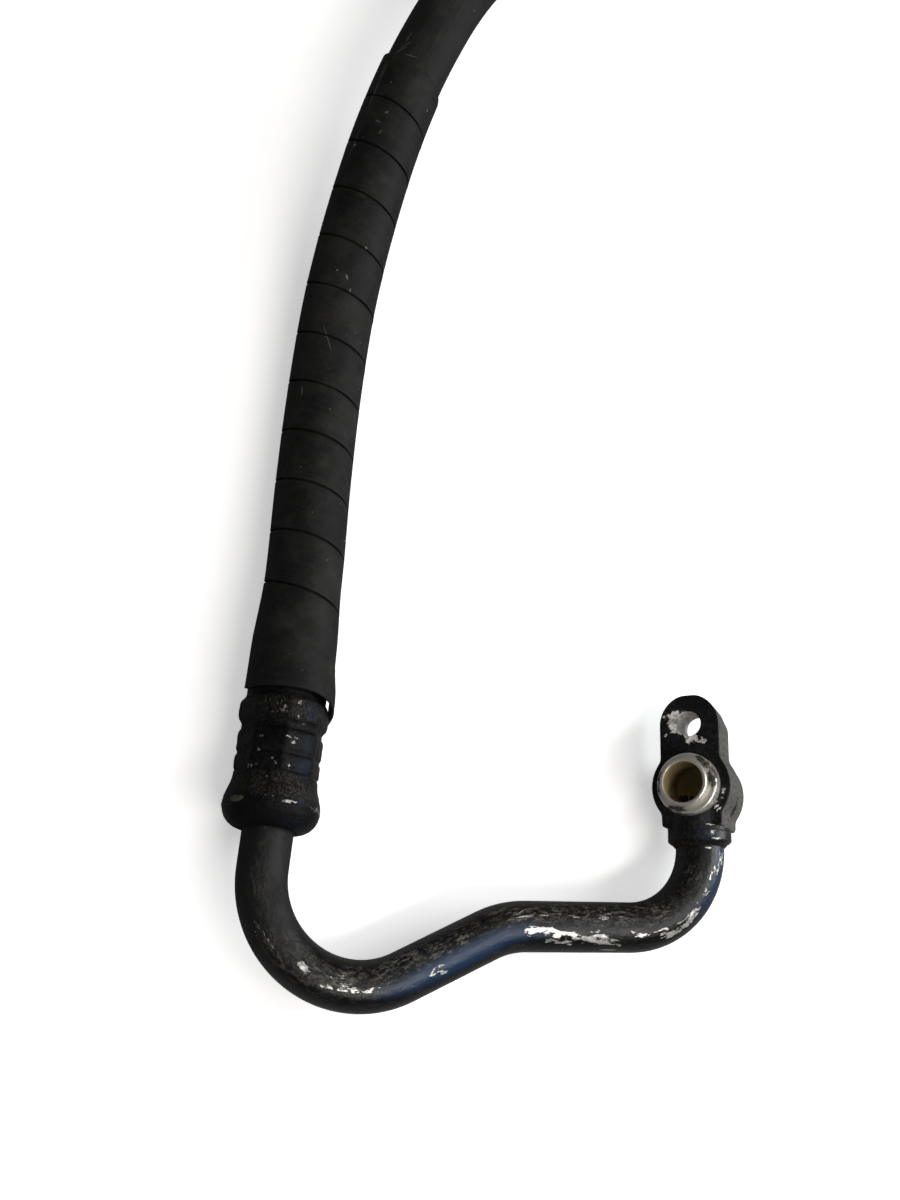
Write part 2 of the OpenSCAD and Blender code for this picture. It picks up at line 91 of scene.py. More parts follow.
route = np.array([[0, -mouth_s, 0]] + hose_route, float)
far_way = (route[-1] - route[-2]) * [1, 1, 0]
far_way /= np.linalg.norm(far_way)
far_mouth = route[-1] + far_straight * far_way
route = np.vstack([route, far_mouth + mouth_s * far_way, far_mouth + ferrule_length * far_way])
route = (route + [0, ferrule_length, 0]) * mm
far_end = near_end @ Matrix.Translation(route[-1]) @ Matrix.Rotation(
    math.atan2(far_way[1], far_way[0]) - math.radians(90), 4, "Z")
route = np.array([near_end @ Matrix.Translation(point) for point in route[:-1]])[:, :3, 3]


def smooth_line(points, step):
    """Points about a step apart on a smooth curve through the given ones."""
    ends = np.vstack([2 * points[0] - points[1], points, 2 * points[-1] - points[-2]])
    line = []
    for before, start, end, after in zip(ends, ends[1:], ends[2:], ends[3:]):
        run = np.linalg.norm(end - start)
        lead = run * (end - before) / (np.linalg.norm(start - before) + run)
        tail = run * (after - start) / (np.linalg.norm(after - end) + run)
        t = np.linspace(0, 1, max(2, round(run / step)), endpoint=False)[:, None]
        line.append((2 * t**3 - 3 * t**2 + 1) * start + (t**3 - 2 * t**2 + t) * lead
                    + (3 * t**2 - 2 * t**3) * end + (t**3 - t**2) * tail)
    return np.vstack(line + [points[-1:]])


hose_line = smooth_line(route, 3 * mm)
hose_steps = np.linalg.norm(np.diff(hose_line, axis=0), axis=1)
hose_s = np.concatenate([[0], np.cumsum(hose_steps)]) / mm
hose_length = hose_s[-1]
hose_ahead = np.gradient(hose_line, axis=0)
hose_ahead /= np.linalg.norm(hose_ahead, axis=1)[:, None]
hose_side = np.cross(hose_ahead, [0, 0, 1])
hose_side /= np.linalg.norm(hose_side, axis=1)[:, None]
hose_up = np.cross(hose_side, hose_ahead)


def on_hose(s, radius, angle):
    """Points at lengths s in mm along the hose, at a radius in mm and an angle about it."""
    centre, side, up = (
        np.stack([np.interp(s, hose_s, values[:, k]) for k in range(3)], -1)
        for values in (hose_line, hose_side, hose_up)
    )
    out = np.cos(angle)[..., None] * side + np.sin(angle)[..., None] * up
    return centre + (radius * mm)[..., None] * out


def skin(name, grid, around, along, closed=True, caps=False, sharp=40):
    """A mesh over a grid of rings, with a map of metres around and along it. A closed grid joins
    its last ring to its first, and caps close the ends of one that isn't."""
    rings, sides = grid.shape[:2]
    index = np.arange(rings * sides).reshape(rings, sides)
    rows = rings if closed else rings - 1
    a, b = index[:rows], index[(np.arange(rows) + 1) % rings]
    faces = np.stack([a, np.roll(a, -1, 1), np.roll(b, -1, 1), b], -1).reshape(-1, 4).tolist()
    column = np.arange(sides)
    u = np.stack([column, column + 1, column + 1, column], -1) / sides
    row = np.arange(rows)
    v = np.stack([along[row], along[row], along[(row + 1) % rings], along[(row + 1) % rings]], -1)
    around = np.broadcast_to(around, rings)
    places = np.stack([
        np.broadcast_to(u[None], (rows, sides, 4)) * around[:rows, None, None],
        np.broadcast_to(v[:, None], (rows, sides, 4)),
    ], -1).reshape(-1, 2)
    if caps:
        faces += [index[0, ::-1].tolist(), index[-1].tolist()]
        places = np.vstack([places, np.zeros((2 * sides, 2))])
    mesh = bpy.data.meshes.new(name)
    mesh.from_pydata(grid.reshape(-1, 3).tolist(), [], faces)
    mesh.uv_layers.new(name="lay").uv.foreach_set("vector", places.astype(np.float32).ravel())
    mesh.update()
    mesh.set_sharp_from_angle(angle=math.radians(sharp))
    return placed(name, mesh)


def settle(piece, body, material, node):
    """Rides a piece on a body, in its material, and lets it stand for its CAD node."""
    piece.data.materials.clear()
    piece.data.materials.append(material)
    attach(piece, body)
    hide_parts(node)
    return piece


def add(tree, kind, inputs={}, **settings):
    """A shader node with its settings, and its inputs as values or as links."""
    made = tree.nodes.new("ShaderNode" + kind)
    for name, value in settings.items():
        setattr(made, name, value)
    for name, value in inputs.items():
        if isinstance(value, bpy.types.NodeSocket):
            tree.links.new(value, made.inputs[name])
        else:
            made.inputs[name].default_value = value
    return made


def effect(name, inputs, outputs):
    """An empty node group with named sockets: its tree, what comes in and what goes out."""
    tree = bpy.data.node_groups.new(name, "ShaderNodeTree")
    for label, value in inputs.items():
        kind = {3: "Vector", 4: "Color"}[len(value)] if hasattr(value, "__len__") else "Float"
        socket = tree.interface.new_socket(label, in_out="INPUT", socket_type="NodeSocket" + kind)
        socket.default_value = value
    for label in outputs:
        kind = "Color" if label == "Color" else "Float"
        tree.interface.new_socket(label, in_out="OUTPUT", socket_type="NodeSocket" + kind)
    return tree, tree.nodes.new("NodeGroupInput").outputs, tree.nodes.new("NodeGroupOutput").inputs


def noise(tree, vector, scale, detail, rough=0.5):
    return add(tree, "TexNoise", {
        "Vector": vector, "Scale": scale, "Detail": detail, "Roughness": rough,
    }).outputs


def ramp(tree, value, low, high, start=0.0, end=1.0, soft=False):
    """Runs from start to end as the value runs from low to high, and stops there."""
    return add(tree, "MapRange", {
        "Value": value, "From Min": low, "From Max": high, "To Min": start, "To Max": end,
    }, interpolation_type="SMOOTHSTEP" if soft else "LINEAR").outputs[0]


def blotches(tree, vector, scale, low, high, detail, rough):
    """A mask of soft blotches, 0 where the noise is under low and 1 where it is over high."""
    return ramp(tree, noise(tree, vector, scale, detail, rough)[0], low, high, soft=True)


def blend_colour(tree, mask, under, over):
    return add(tree, "Mix", {0: mask, 6: under, 7: over}, data_type="RGBA").outputs[2]


def combine(tree, first, second, operation="MULTIPLY", clamp=False):
    """Two values multiplied, unless another operation is named."""
    return add(tree, "Math", {0: first, 1: second}, operation=operation, use_clamp=clamp).outputs[0]


def spots(tree, vector, marks):
    """A mask of soft-edged ellipsoids, each a centre, radii, turn in degrees and strength, in mm."""
    mask = None
    for centre, radii, turn, strength in marks:
        inside = add(tree, "Mapping", {
            "Vector": vector, "Location": [value * mm for value in centre],
            "Rotation": (0, 0, math.radians(turn)), "Scale": [value * mm for value in radii],
        }, vector_type="TEXTURE").outputs[0]
        reach = add(tree, "VectorMath", {0: inside}, operation="LENGTH").outputs["Value"]
        mark = ramp(tree, reach, 1.0, 0.4, end=strength, soft=True)
        mask = combine(tree, mask, mark, "MAXIMUM") if mask else mark
    return mask


def frayed(tree, vector, reach, scale=450):
    """A place shaken by fine noise, so that the marks laid by it get torn edges; reach in mm."""
    shake = add(tree, "VectorMath", {
        0: noise(tree, vector, scale, 5, 0.7)["Color"], 1: (0.5, 0.5, 0.5),
    }, operation="SUBTRACT").outputs[0]
    return add(tree, "VectorMath", {
        0: shake, 1: [2 * value * mm for value in reach], 2: vector,
    }, operation="MULTIPLY_ADD").outputs[0]


# Weathered rubber: faint lengthwise streaks from the mandrel, dust rubbed into it, and a few
# specks of grit that stand out pale.
weathered, given, out = effect("weathered_rubber", {
    "Place": (0, 0, 0), "Lay": (0, 0, 0), "Tone": (0.008, 0.008, 0.008, 1), "Dust": (0.02, 0.02, 0.019, 1),
    "Dustiness": 0.5, "Streaks": 0.4, "Grit": 1.0, "Scuffs": 0.0,
}, ["Color", "Roughness", "Height"])
tree = weathered
stretched = add(tree, "Mapping", {"Vector": given["Lay"], "Scale": (1400, 60, 1)}).outputs[0]
streak = blotches(tree, stretched, 1, 0.42, 0.7, 3, 0.5)
cloud = blotches(tree, given["Place"], 55, 0.38, 0.72, 5, 0.65)
smear = blotches(tree, given["Place"], 210, 0.45, 0.75, 4, 0.7)
grit = blotches(tree, given["Place"], 620, 0.775, 0.8, 1, 0.4)
dusted = combine(tree, cloud, given["Dustiness"])
dusted = combine(tree, dusted, combine(tree, smear, 0.35), "ADD", True)
dusted = combine(tree, dusted, combine(tree, streak, given["Streaks"]), "ADD", True)
shade = blend_colour(tree, combine(tree, dusted, 0.6), given["Tone"], given["Dust"])
pale = combine(tree, combine(tree, grit, given["Grit"]), given["Scuffs"], "MAXIMUM")
pale_grit = (0.17, 0.165, 0.15, 1)
tree.links.new(blend_colour(tree, pale, shade, pale_grit), out["Color"])
tree.links.new(ramp(tree, dusted, 0, 1, 0.56, 0.78), out["Roughness"])
pores = combine(tree, noise(tree, given["Place"], 900, 3)[0], 0.5)
relief = combine(tree, pores, combine(tree, streak, 0.5), "ADD")
tree.links.new(relief, out["Height"])


def finish(name, group, values, bump=0.3, bump_depth=0.1, worn=None, gleam=0.12, seat=Matrix()):
    """A material whose colour, roughness, metal and bump come from one effect group. The worn
    function gives masks for single marks, laid out in the piece's own seat."""
    material = bpy.data.materials.new(name)
    material.use_nodes = True
    tree = material.node_tree
    shader = tree.nodes["Principled BSDF"]
    shader.inputs["Specular IOR Level"].default_value = gleam
    values = dict(values, Place=add(tree, "Mapping", {
        "Vector": add(tree, "TexCoord").outputs["Object"], "Location": seat.translation,
        "Rotation": seat.to_euler(),
    }, vector_type="TEXTURE").outputs[0])
    if worn or "Lay" in group.interface.items_tree:
        lay = add(tree, "UVMap", uv_map="lay").outputs[0]
        values.update(worn(tree, values["Place"], lay) if worn else {})
        if "Lay" in group.interface.items_tree:
            values["Lay"] = lay
    if "Grain" in group.interface.items_tree:
        values.setdefault("Grain", values["Place"])
    look = add(tree, "Group", node_tree=group)
    for label, value in values.items():
        if isinstance(value, bpy.types.NodeSocket):
            tree.links.new(value, look.inputs[label])
        else:
            look.inputs[label].default_value = value
    tree.links.new(look.outputs["Color"], shader.inputs["Base Color"])
    for label in ("Roughness", "Metallic"):
        if label in look.outputs:
            tree.links.new(look.outputs[label], shader.inputs[label])
    if bump:
        tree.links.new(add(tree, "Bump", {
            "Strength": bump, "Distance": bump_depth * mm, "Height": look.outputs["Height"],
        }).outputs[0], shader.inputs["Normal"])
    return material


def cover_wear(tree, place, lay):
    """Dusty scratches across the cover where the guard ends."""
    return {"Scuffs": spots(tree, frayed(tree, place, (0.8, 0.8, 0.8)), [
        ((-44.7, 273.5, 34.5), (3.4, 0.5, 4), 25, 0.4), ((-43, 275.5, 35.5), (3, 0.4, 4), 35, 0.35),
        ((-41.5, 270.5, 36.8), (3, 0.4, 4), -20, 0.35), ((-42, 279, 36), (0.5, 3, 4), -20, 0.3),
    ])}


cover_rubber = finish("cover_rubber", weathered, {
    "Tone": (0.0105, 0.0104, 0.0102, 1), "Dust": (0.036, 0.0355, 0.034, 1), "Dustiness": 0.75,
    "Streaks": 0.45, "Grit": 0.6,
}, bump=0.6, worn=cover_wear)
inner_rubber = finish("inner_rubber", weathered, {
    "Tone": (0.008, 0.008, 0.008, 1), "Dust": (0.015, 0.015, 0.015, 1), "Dustiness": 0.2,
    "Streaks": 0.2, "Grit": 0.0,
})

# The braid's yarn crosses left and right at about the angle at which pressure doesn't turn a hose.
woven, given, out = effect("woven_yarn", {"Place": (0, 0, 0), "Lay": (0, 0, 0)},
                           ["Color", "Roughness", "Height"])
tree = woven
braid_angle = 54.7
yarn_gap, yarn = (0.16, 0.13, 0.09, 1), (0.52, 0.46, 0.35, 1)
yarns = []
for turn in (braid_angle, -braid_angle):
    slanted = add(tree, "Mapping", {
        "Vector": given["Lay"], "Rotation": (0, 0, math.radians(turn)),
    }).outputs[0]
    yarns.append(add(tree, "TexWave", {"Vector": slanted, "Scale": 260, "Distortion": 0.4}).outputs[1])
crossing = combine(tree, yarns[0], yarns[1], "MAXIMUM")
tree.links.new(blend_colour(tree, crossing, yarn_gap, yarn), out["Color"])
tree.links.new(ramp(tree, crossing, 0, 1, 0.9, 0.7), out["Roughness"])
tree.links.new(crossing, out["Height"])
braid_yarn = finish("braid_yarn", woven, {}, bump=0.8)

layer_finishes = {
    "hose_cover": cover_rubber, "hose_outer_braid": braid_yarn, "hose_friction_layer": inner_rubber,
    "hose_inner_braid": braid_yarn, "hose_inner_tube": inner_rubber,
}
hose_layers = {}
kept = (hose_s > mouth_s - hose_tuck) & (hose_s < hose_length - mouth_s + hose_tuck)
for node, (outer, inner) in hose_radii.items():
    # Only the cover is seen, so the layers inside it have half its rings and half its sides.
    coarse = 1 if node == "hose_cover" else 2
    shown = kept & (np.arange(len(hose_s)) % coarse == 0)
    s = np.concatenate([hose_s[shown], hose_s[shown][::-1]])
    radius = np.repeat([outer, inner], shown.sum())
    angle = np.linspace(0, 2 * math.pi, cover_sides // coarse, endpoint=False)
    grid = on_hose(s[:, None] + 0 * angle, radius[:, None] + 0 * angle, angle[None] + 0 * s[:, None])
    layer = skin(node + "_piece", grid, 2 * math.pi * outer * mm, s * mm)
    hose_layers[node] = settle(layer, "hose_assembly", layer_finishes[node], node)

# The spiral guard: a flat strip of tough rubber, moulded as a coil and wound over the hose so that
# its turns nearly meet. Its first turn is trimmed square and stands off the ferrule on one side.
guard_wall, guard_pitch, guard_slit = 0.75, 18.1, 0.75
guard_overlap, guard_reach, guard_settle = 13.5, 226, 26
guard_angle, guard_tip_drop, guard_tip_sweep = -12, 6, 100
guard_hose_r, guard_mouth_r, guard_lip_r = 11.7, 12.85, 14.45
guard_pressed, guard_lift, guard_edge = 1.1, 0.042, 2.5
guard_lip_s = mouth_s - guard_overlap
guard_start = guard_lip_s - guard_pitch / 2
guard_strip = guard_pitch - guard_slit
guard_turns = (mouth_s + guard_reach - guard_strip - guard_start) / guard_pitch
guard_steps = 72


def ease(value):
    value = np.clip(value, 0, 1)
    return value * value * (3 - 2 * value)


turned = np.arange(0, 360 * guard_turns, 360 / guard_steps)
angle = np.radians(guard_angle + turned)
helix = guard_start + guard_pitch * turned / 360
trim = guard_lip_s - guard_tip_drop * (1 - np.minimum(1, turned / guard_tip_sweep)) ** 2
low, high = np.maximum(helix, trim), helix + guard_strip
# The first slit above the lip is pressed shut, and the strip's edges lift a little as it coils.
high = high + guard_pressed * ease((turned + 30) / 30) * ease((360 - turned) / 30)
wave = np.radians(turned)
lift = guard_lift * (1 + np.sin(wave * 0.37 + 1)) * (1 + 0.5 * np.sin(wave * 1.9))
# The strip's section, by its place across the strip from 0 to 1, the millimetres that it is moved on
# by, and its height: the inside, one rounded edge, the outside and the other rounded edge.
strip_section = [(0, 0.1, 0), (0.5, 0, 0), (1, -0.1, 0)]
strip_section += [(1, 0, 0.1), (1, 0, 0.5), (1, -0.06, guard_wall - 0.09), (1, -0.22, guard_wall)]
strip_section += [(1, -1.5, guard_wall), (0.75, 0, guard_wall), (0.5, 0, guard_wall)]
strip_section += [(0.25, 0, guard_wall), (0, 1.5, guard_wall)]
strip_section += [(0, 0.22, guard_wall), (0, 0.06, guard_wall - 0.09), (0, 0, 0.5), (0, 0, 0.1)]
sections = []
for edge, inset, height in strip_section:
    s = low + edge * (high - low) + inset
    bore = (guard_mouth_r + (guard_hose_r - guard_mouth_r) * ease((s - mouth_s) / guard_settle)
            + (guard_lip_r - guard_mouth_r) * (1 + np.cos(angle)) / 2
            * (1 - ease((s - guard_lip_s) / guard_overlap)))
    near_edge = np.clip(1 - np.minimum(s - low, high - s) / guard_edge, 0, 1) ** 2
    sections.append(on_hose(s, bore + height + lift * near_edge, angle))
grid = np.stack(sections, 1)[:, ::-1]


def guard_wear(tree, place, lay):
    """Pale nicks and one long scratch that the strip has picked up."""
    return {"Scuffs": spots(tree, place, [
        ((-58.4, 235.5, 28.3), (0.6, 0.8, 3), 0, 1), ((-52.8, 196.1, 28.9), (0.6, 0.6, 3), 0, 0.8),
        ((-58.8, 184.5, 27.9), (0.4, 1.2, 3), 20, 1), ((-62.1, 186.9, 27.1), (0.5, 0.5, 3), 0, 0.8),
        ((-57.4, 180, 27.4), (0.4, 0.9, 3), -20, 0.7), ((-63.9, 161.9, 25.4), (0.25, 7.2, 4), 17, 0.4),
        ((-70.85, 143.4, 21.4), (0.3, 2.2, 3), 0, 0.5), ((-58.2, 237.5, 27), (0.25, 14, 5), -17, 0.3),
        ((-52.5, 257, 30.5), (0.4, 9, 6), -16, 0.4), ((-50, 265, 31), (0.9, 6, 6), -18, 0.25),
        ((-49, 246.5, 35.2), (0.9, 0.7, 3), 30, 0.5), ((-51.6, 243, 33.5), (0.5, 1.6, 3), 50, 0.4),
    ])}


guard_rubber = finish("guard_rubber", weathered, {
    "Tone": (0.0085, 0.0084, 0.0082, 1), "Dust": (0.048, 0.0466, 0.0444, 1), "Dustiness": 0.7,
    "Streaks": 0.12, "Grit": 0.5,
}, bump=0.35, worn=guard_wear)
along = np.radians(turned) * 12 * mm
coil = skin("spiral_guard_piece", grid, 40 * mm, along, closed=False, caps=True)
guard = settle(coil, "hose_assembly", guard_rubber, "spiral_guard")

# The bent tube: drawn steel, bent cold in three places and painted near-black. The paint is worn
# to bare metal along what has rubbed, and along the front these bare patches are partly a painted
# highlight beside a band of painted blue reflection; rust and dried oil speckle the rest.
tube_r, tube_bore_r, tube_sides = 8.0, 6.5, 64
tube_start, block_x, block_y = 14.2, 72.4775, 21.4189
tube_turns = [
    ("run", 5.6), ("bend", -88, 27), ("run", 35.8), ("bend", 25, 31), ("run", 30), ("bend", -122, 31),
    ("run", 20.8),
]
run_step, bend_step = 1.5, 3
# From the block's place on the table and its socket, the tube is followed run by run and bend by bend
# to its end in the ferrule.
heading = -90.0
place = np.array([0.0, -tube_start])
tube_line, tube_heading = [place], [heading]
for kind, amount, *bend_r in tube_turns:
    count = round(abs(amount) / (run_step if kind == "run" else bend_step))
    for _ in range(count):
        before = math.radians(heading)
        if kind == "run":
            place = place + amount / count * np.array([math.cos(before), math.sin(before)])
        else:
            heading += amount / count
            after = math.radians(heading)
            radius = math.copysign(bend_r[0], amount)
            place = place + radius * np.array([
                math.sin(after) - math.sin(before), math.cos(before) - math.cos(after)])
        tube_line.append(place)
        tube_heading.append(heading)
tube_heading = np.radians(tube_heading)
tube_line = np.array(tube_line) + [block_x, block_y]
tube_s = np.concatenate([[0], np.cumsum(np.linalg.norm(np.diff(tube_line, axis=0), axis=1))])
angle = np.linspace(0, 2 * math.pi, tube_sides, endpoint=False)
rings = []
for radius, order in ((tube_r, 1), (tube_bore_r, -1)):
    line, way = tube_line[::order], tube_heading[::order]
    out_x = np.cos(angle) * np.sin(way)[:, None]
    out_y = -np.cos(angle) * np.cos(way)[:, None]
    rings.append(np.stack([
        line[:, :1] + radius * out_x, line[:, 1:] + radius * out_y,
        collar_r + radius * np.sin(angle) + 0 * out_x,
    ], -1))
grid = np.vstack(rings) * mm

# Chipped paint: a thin coat with grime in its grain, chips to bright metal where it is rubbed, and
# whole faces worn to dull bare metal. Masks also lay on it a painted bluish reflection, bright bare
# chips that are partly a painted highlight, and painted shade that darkens and dulls it.
chipped, given, out = effect("chipped_paint", {
    "Place": (0, 0, 0), "Grain": (0, 0, 0), "Paint": (0.004, 0.004, 0.0043, 1),
    "Tint_and_Reflection": (0.012, 0.028, 0.065, 1), "Dirt": (0.07, 0.062, 0.048, 1), "Metal": (0.62, 0.60, 0.56, 1),
    "Bare": (0.13, 0.125, 0.115, 1), "Dirtiness": 0.4, "Chips": 0.4, "Rubbed_and_Highlight": 0.0, "Worn": 0.0,
    "Blue": 0.0, "Dull_and_Shade": 0.0, "Gloss": 0.28, "Shine": 0.75,
}, ["Color", "Roughness", "Metallic", "Height"])
tree = chipped
cloud = blotches(tree, given["Place"], 90, 0.42, 0.66, 5, 0.65)
tint = blotches(tree, given["Place"], 45, 0.5, 0.75, 3, 0.5)
speck = blotches(tree, given["Grain"], 900, 0.46, 0.64, 5, 0.8)
grime = combine(tree, speck, combine(tree, cloud, 0.25, "ADD", True))
grime = combine(tree, grime, given["Dirtiness"])
# A chip is where the noise, which is raised where the paint is rubbed and where a painted highlight is laid
# as bright chips, passes a limit.
ragged = noise(tree, given["Grain"], 520, 7, 0.8)[0]
patchy = noise(tree, given["Grain"], 110, 3)[0]
wear = combine(tree, ragged, combine(tree, patchy, 0.7), "ADD")
wear = combine(tree, wear, combine(tree, given["Rubbed_and_Highlight"], 0.5), "ADD")
limit = ramp(tree, given["Chips"], 0, 1, 1.26, 1.02)
chip = ramp(tree, combine(tree, wear, limit, "SUBTRACT"), 0, 0.05, soft=True)
torn = combine(tree, given["Worn"], combine(tree, ragged, 1.0, "SUBTRACT"), "ADD")
torn = ramp(tree, torn, -0.03, 0.06, soft=True)
dull_shade_colour, pits = (0.0035, 0.0035, 0.004, 1), (0.028, 0.026, 0.024, 1)
# A little random tint and the painted reflection mask mix the paint towards the reflection colour.
tint_and_reflection_mask = combine(tree, combine(tree, tint, 0.12), given["Blue"], "ADD", True)
painted = blend_colour(tree, tint_and_reflection_mask, given["Paint"], given["Tint_and_Reflection"])
painted = blend_colour(tree, grime, painted, given["Dirt"])
# Painted shade: the paint darkens towards a near-black colour where the dull-and-shade mask lies.
painted = blend_colour(tree, combine(tree, given["Dull_and_Shade"], 0.7), painted, dull_shade_colour)
sandy = combine(tree, speck, combine(tree, cloud, 0.6, "ADD", True))
sandy = blend_colour(tree, sandy, given["Bare"], pits)
painted = blend_colour(tree, torn, painted, sandy)
pitted = ramp(tree, speck, 0, 1, 1.1, 0.4)
metal = add(tree, "VectorMath", {0: given["Metal"], "Scale": pitted}, operation="SCALE").outputs[0]
tree.links.new(blend_colour(tree, chip, painted, metal), out["Color"])
rough = combine(tree, given["Gloss"], combine(tree, cloud, 0.16), "ADD")
rough = combine(tree, rough, combine(tree, grime, 0.45), "ADD", True)
rough = combine(tree, rough, combine(tree, given["Dull_and_Shade"], 0.5), "ADD", True)
rough = add(tree, "Mix", {0: torn, 2: rough, 3: 0.6}).outputs[0]
tree.links.new(add(tree, "Mix", {0: chip, 2: rough, 3: 0.36}).outputs[0], out["Roughness"])
shine = combine(tree, chip, given["Shine"])
tree.links.new(combine(tree, shine, combine(tree, torn, 0.2), "MAXIMUM"), out["Metallic"])
lumps = noise(tree, given["Place"], 330, 6, 0.7)[0]
coat = combine(tree, lumps, combine(tree, grime, 0.15), "ADD")
tree.links.new(combine(tree, coat, combine(tree, chip, 0.25), "SUBTRACT"), out["Height"])


def tube_wear(tree, place, lay):
    """Along the front of the tube: bare rubbed patches and scratches, and a band of painted blue
    reflection. The patches at about 15 mm around follow the front lamp's highlight and are partly a
    painted highlight; the leg is dulled and darkened. The marks lie by millimetres around and along
    the tube, and their edges are drawn out along it."""
    drawn = 0.35
    grain = add(tree, "Mapping", {"Vector": lay, "Scale": (1, drawn, 1)}).outputs[0]
    torn = add(tree, "Mapping", {
        "Vector": frayed(tree, grain, (4.5, 4.5, 0)), "Scale": (1, 1 / drawn, 1),
    }).outputs[0]
    # The patches at about 15 mm around lie along the front lamp's highlight: they are partly bare metal and
    # partly a painted highlight.
    patches = spots(tree, torn, [
        ((14.7, 79, 0), (1.7, 9.5, 9), 4, 1), ((15.9, 68.5, 0), (2.1, 9.5, 9), 8, 1),
        ((17.6, 60, 0), (2.9, 8, 9), 8, 0.95), ((18.1, 73.5, 0), (0.8, 8, 9), 6, 1),
        ((15.3, 47, 0), (1.2, 5, 9), 0, 0.9), ((15.1, 39.5, 0), (1.1, 5.5, 9), 0, 0.9),
        ((16.9, 33.5, 0), (2, 7, 9), -10, 0.9), ((15.5, 27.5, 0), (2, 7, 9), -15, 0.85),
        ((14.5, 17, 0), (0.9, 7, 9), 10, 0.85), ((15.9, 12.5, 0), (0.9, 6, 9), 15, 0.85),
        ((18.3, 9, 0), (0.9, 5, 9), 15, 0.8), ((13.6, 159.4, 0), (1.9, 4, 9), 12, 1),
        ((15.2, 153, 0), (1.3, 3.2, 9), 0, 0.85), ((14.2, 141, 0), (0.8, 10, 9), 0, 0.95),
        ((12.6, 148, 0), (2.2, 6, 9), 0, 0.7), ((15.9, 116.7, 0), (2, 2.8, 9), 0, 0.9),
        ((14.6, 125.5, 0), (1.3, 2.4, 9), 0, 0.75), ((12, 190, 0), (1.2, 12, 9), 12, 0.6),
        ((18, 174.5, 0), (1.3, 12, 9), -15, 0.6), ((9, 62, 0), (3, 22, 9), 0, 0.55),
        ((6.5, 96, 0), (3, 12, 9), 0, 0.55),
    ])
    scratches = spots(tree, lay, [
        ((21.8, 56.5, 0), (0.35, 5, 9), 0, 0.9), ((10, 85.8, 0), (0.28, 4.2, 9), -2, 1),
        ((9.7, 78.9, 0), (0.25, 2.2, 9), 0, 1), ((7.6, 85, 0), (0.18, 6.5, 9), -28, 0.8),
        ((11.5, 6.4, 0), (2, 0.45, 9), 0, 1), ((6, 90, 0), (0.15, 4, 9), 25, 0.7),
    ])
    return {
        "Grain": grain,
        "Rubbed_and_Highlight": combine(tree, patches, scratches, "MAXIMUM"),
        # A painted blue reflection along the front and round the outside of the tight bend.
        "Blue": spots(tree, lay, [
            ((15, 108, 0), (4.8, 38, 9), 0, 1), ((17, 15, 0), (3, 20, 9), 0, 0.7),
        ]),
        # The leg is dulled and darkened.
        "Dull_and_Shade": spots(tree, lay, [((12, 205, 0), (40, 55, 9), 0, 0.95)]),
        "Dirtiness": combine(tree, spots(tree, lay, [
            ((8.5, 108, 0), (5, 60, 9), 0, 0.95), ((11.5, 150, 0), (5.5, 28, 9), 0, 0.85),
            ((14.5, 186, 0), (4.5, 38, 9), 6, 0.85), ((8.5, 48, 0), (6, 52, 9), 0, 0.7),
        ]), 0.08, "ADD", True),
    }


tube_paint = finish("tube_paint", chipped, {
    "Paint": (0.0026, 0.0026, 0.0028, 1), "Tint_and_Reflection": (0.010, 0.030, 0.074, 1), "Dirt": (0.20, 0.18, 0.137, 1),
    "Metal": (0.78, 0.76, 0.72, 1), "Chips": 0.25, "Gloss": 0.12, "Shine": 0.85,
}, bump=0.8, bump_depth=0.45, worn=tube_wear, gleam=0.36)
along = np.concatenate([tube_s, tube_s[::-1]]) * mm
bent_tube = skin("bent_tube_piece", grid, 2 * math.pi * tube_r * mm, along)
settle(bent_tube, "hose_assembly", tube_paint, "bent_tube")

# The crimped ferrule: a drawn steel cup, pushed over hose and insert and squeezed by eight jaws.
# The jaws leave bands and ribs, and the closed end keeps its rolled collar.
ferrule_hole_r, ferrule_bore_r, ferrule_mouth_r, barrel_r = 8.07, 11.42, 12.5, 12.9
crimp_jaws, crimp_from, crimp_to = 8, 17, 41
rib_height, rib_width, flat_depth, dent_depth = 0.45, 1.5, 0.3, 0.06
# Radius and height: the closed end and its collar, a crease between two bands, the ridge, and the
# plain mouth with its bore.
ferrule_profile = [(ferrule_hole_r, 1.3), (8.6, 1.15), (10.2, 1.2), (11.6, 1.7), (12.9, 2.6), (14.0, 3.9)]
ferrule_profile += [(14.8, 5.4), (15.1, 6.9), (15.22, 7.2), (15.18, 8.2), (14.95, 10.0), (14.2, 12.4)]
ferrule_profile += [(13.6, 14.2), (13.25, 15.8), (13.1, 17.2), (13.0, 17.7), (12.75, 18.0), (12.85, 18.5)]
ferrule_profile += [(13.1, 19.0), (13.15, 22.4), (12.9, 23.0), (12.65, 23.3), (12.65, 24.1), (12.95, 24.6)]
ferrule_profile += [(13.1, 25.2), (13.1, 29.8), (12.9, 30.5), (12.45, 31.2), (12.35, 32.6), (12.8, 33.4)]
ferrule_profile += [(13.5, 34.2), (13.8, 35.2), (13.9, 37.0), (13.85, 39.0), (13.5, 40.3), (12.9, 41.2)]
ferrule_profile += [
    (ferrule_mouth_r, 42.0), (ferrule_mouth_r, ferrule_length - 0.6),
    (ferrule_mouth_r - 0.3, ferrule_length), (11.6, ferrule_length),
    (ferrule_bore_r, ferrule_length - 0.4), (ferrule_bore_r, 30.0), (ferrule_bore_r, 3.9),
    (11.0, 3.5), (8.3, 3.5), (ferrule_hole_r, 3.2),
]


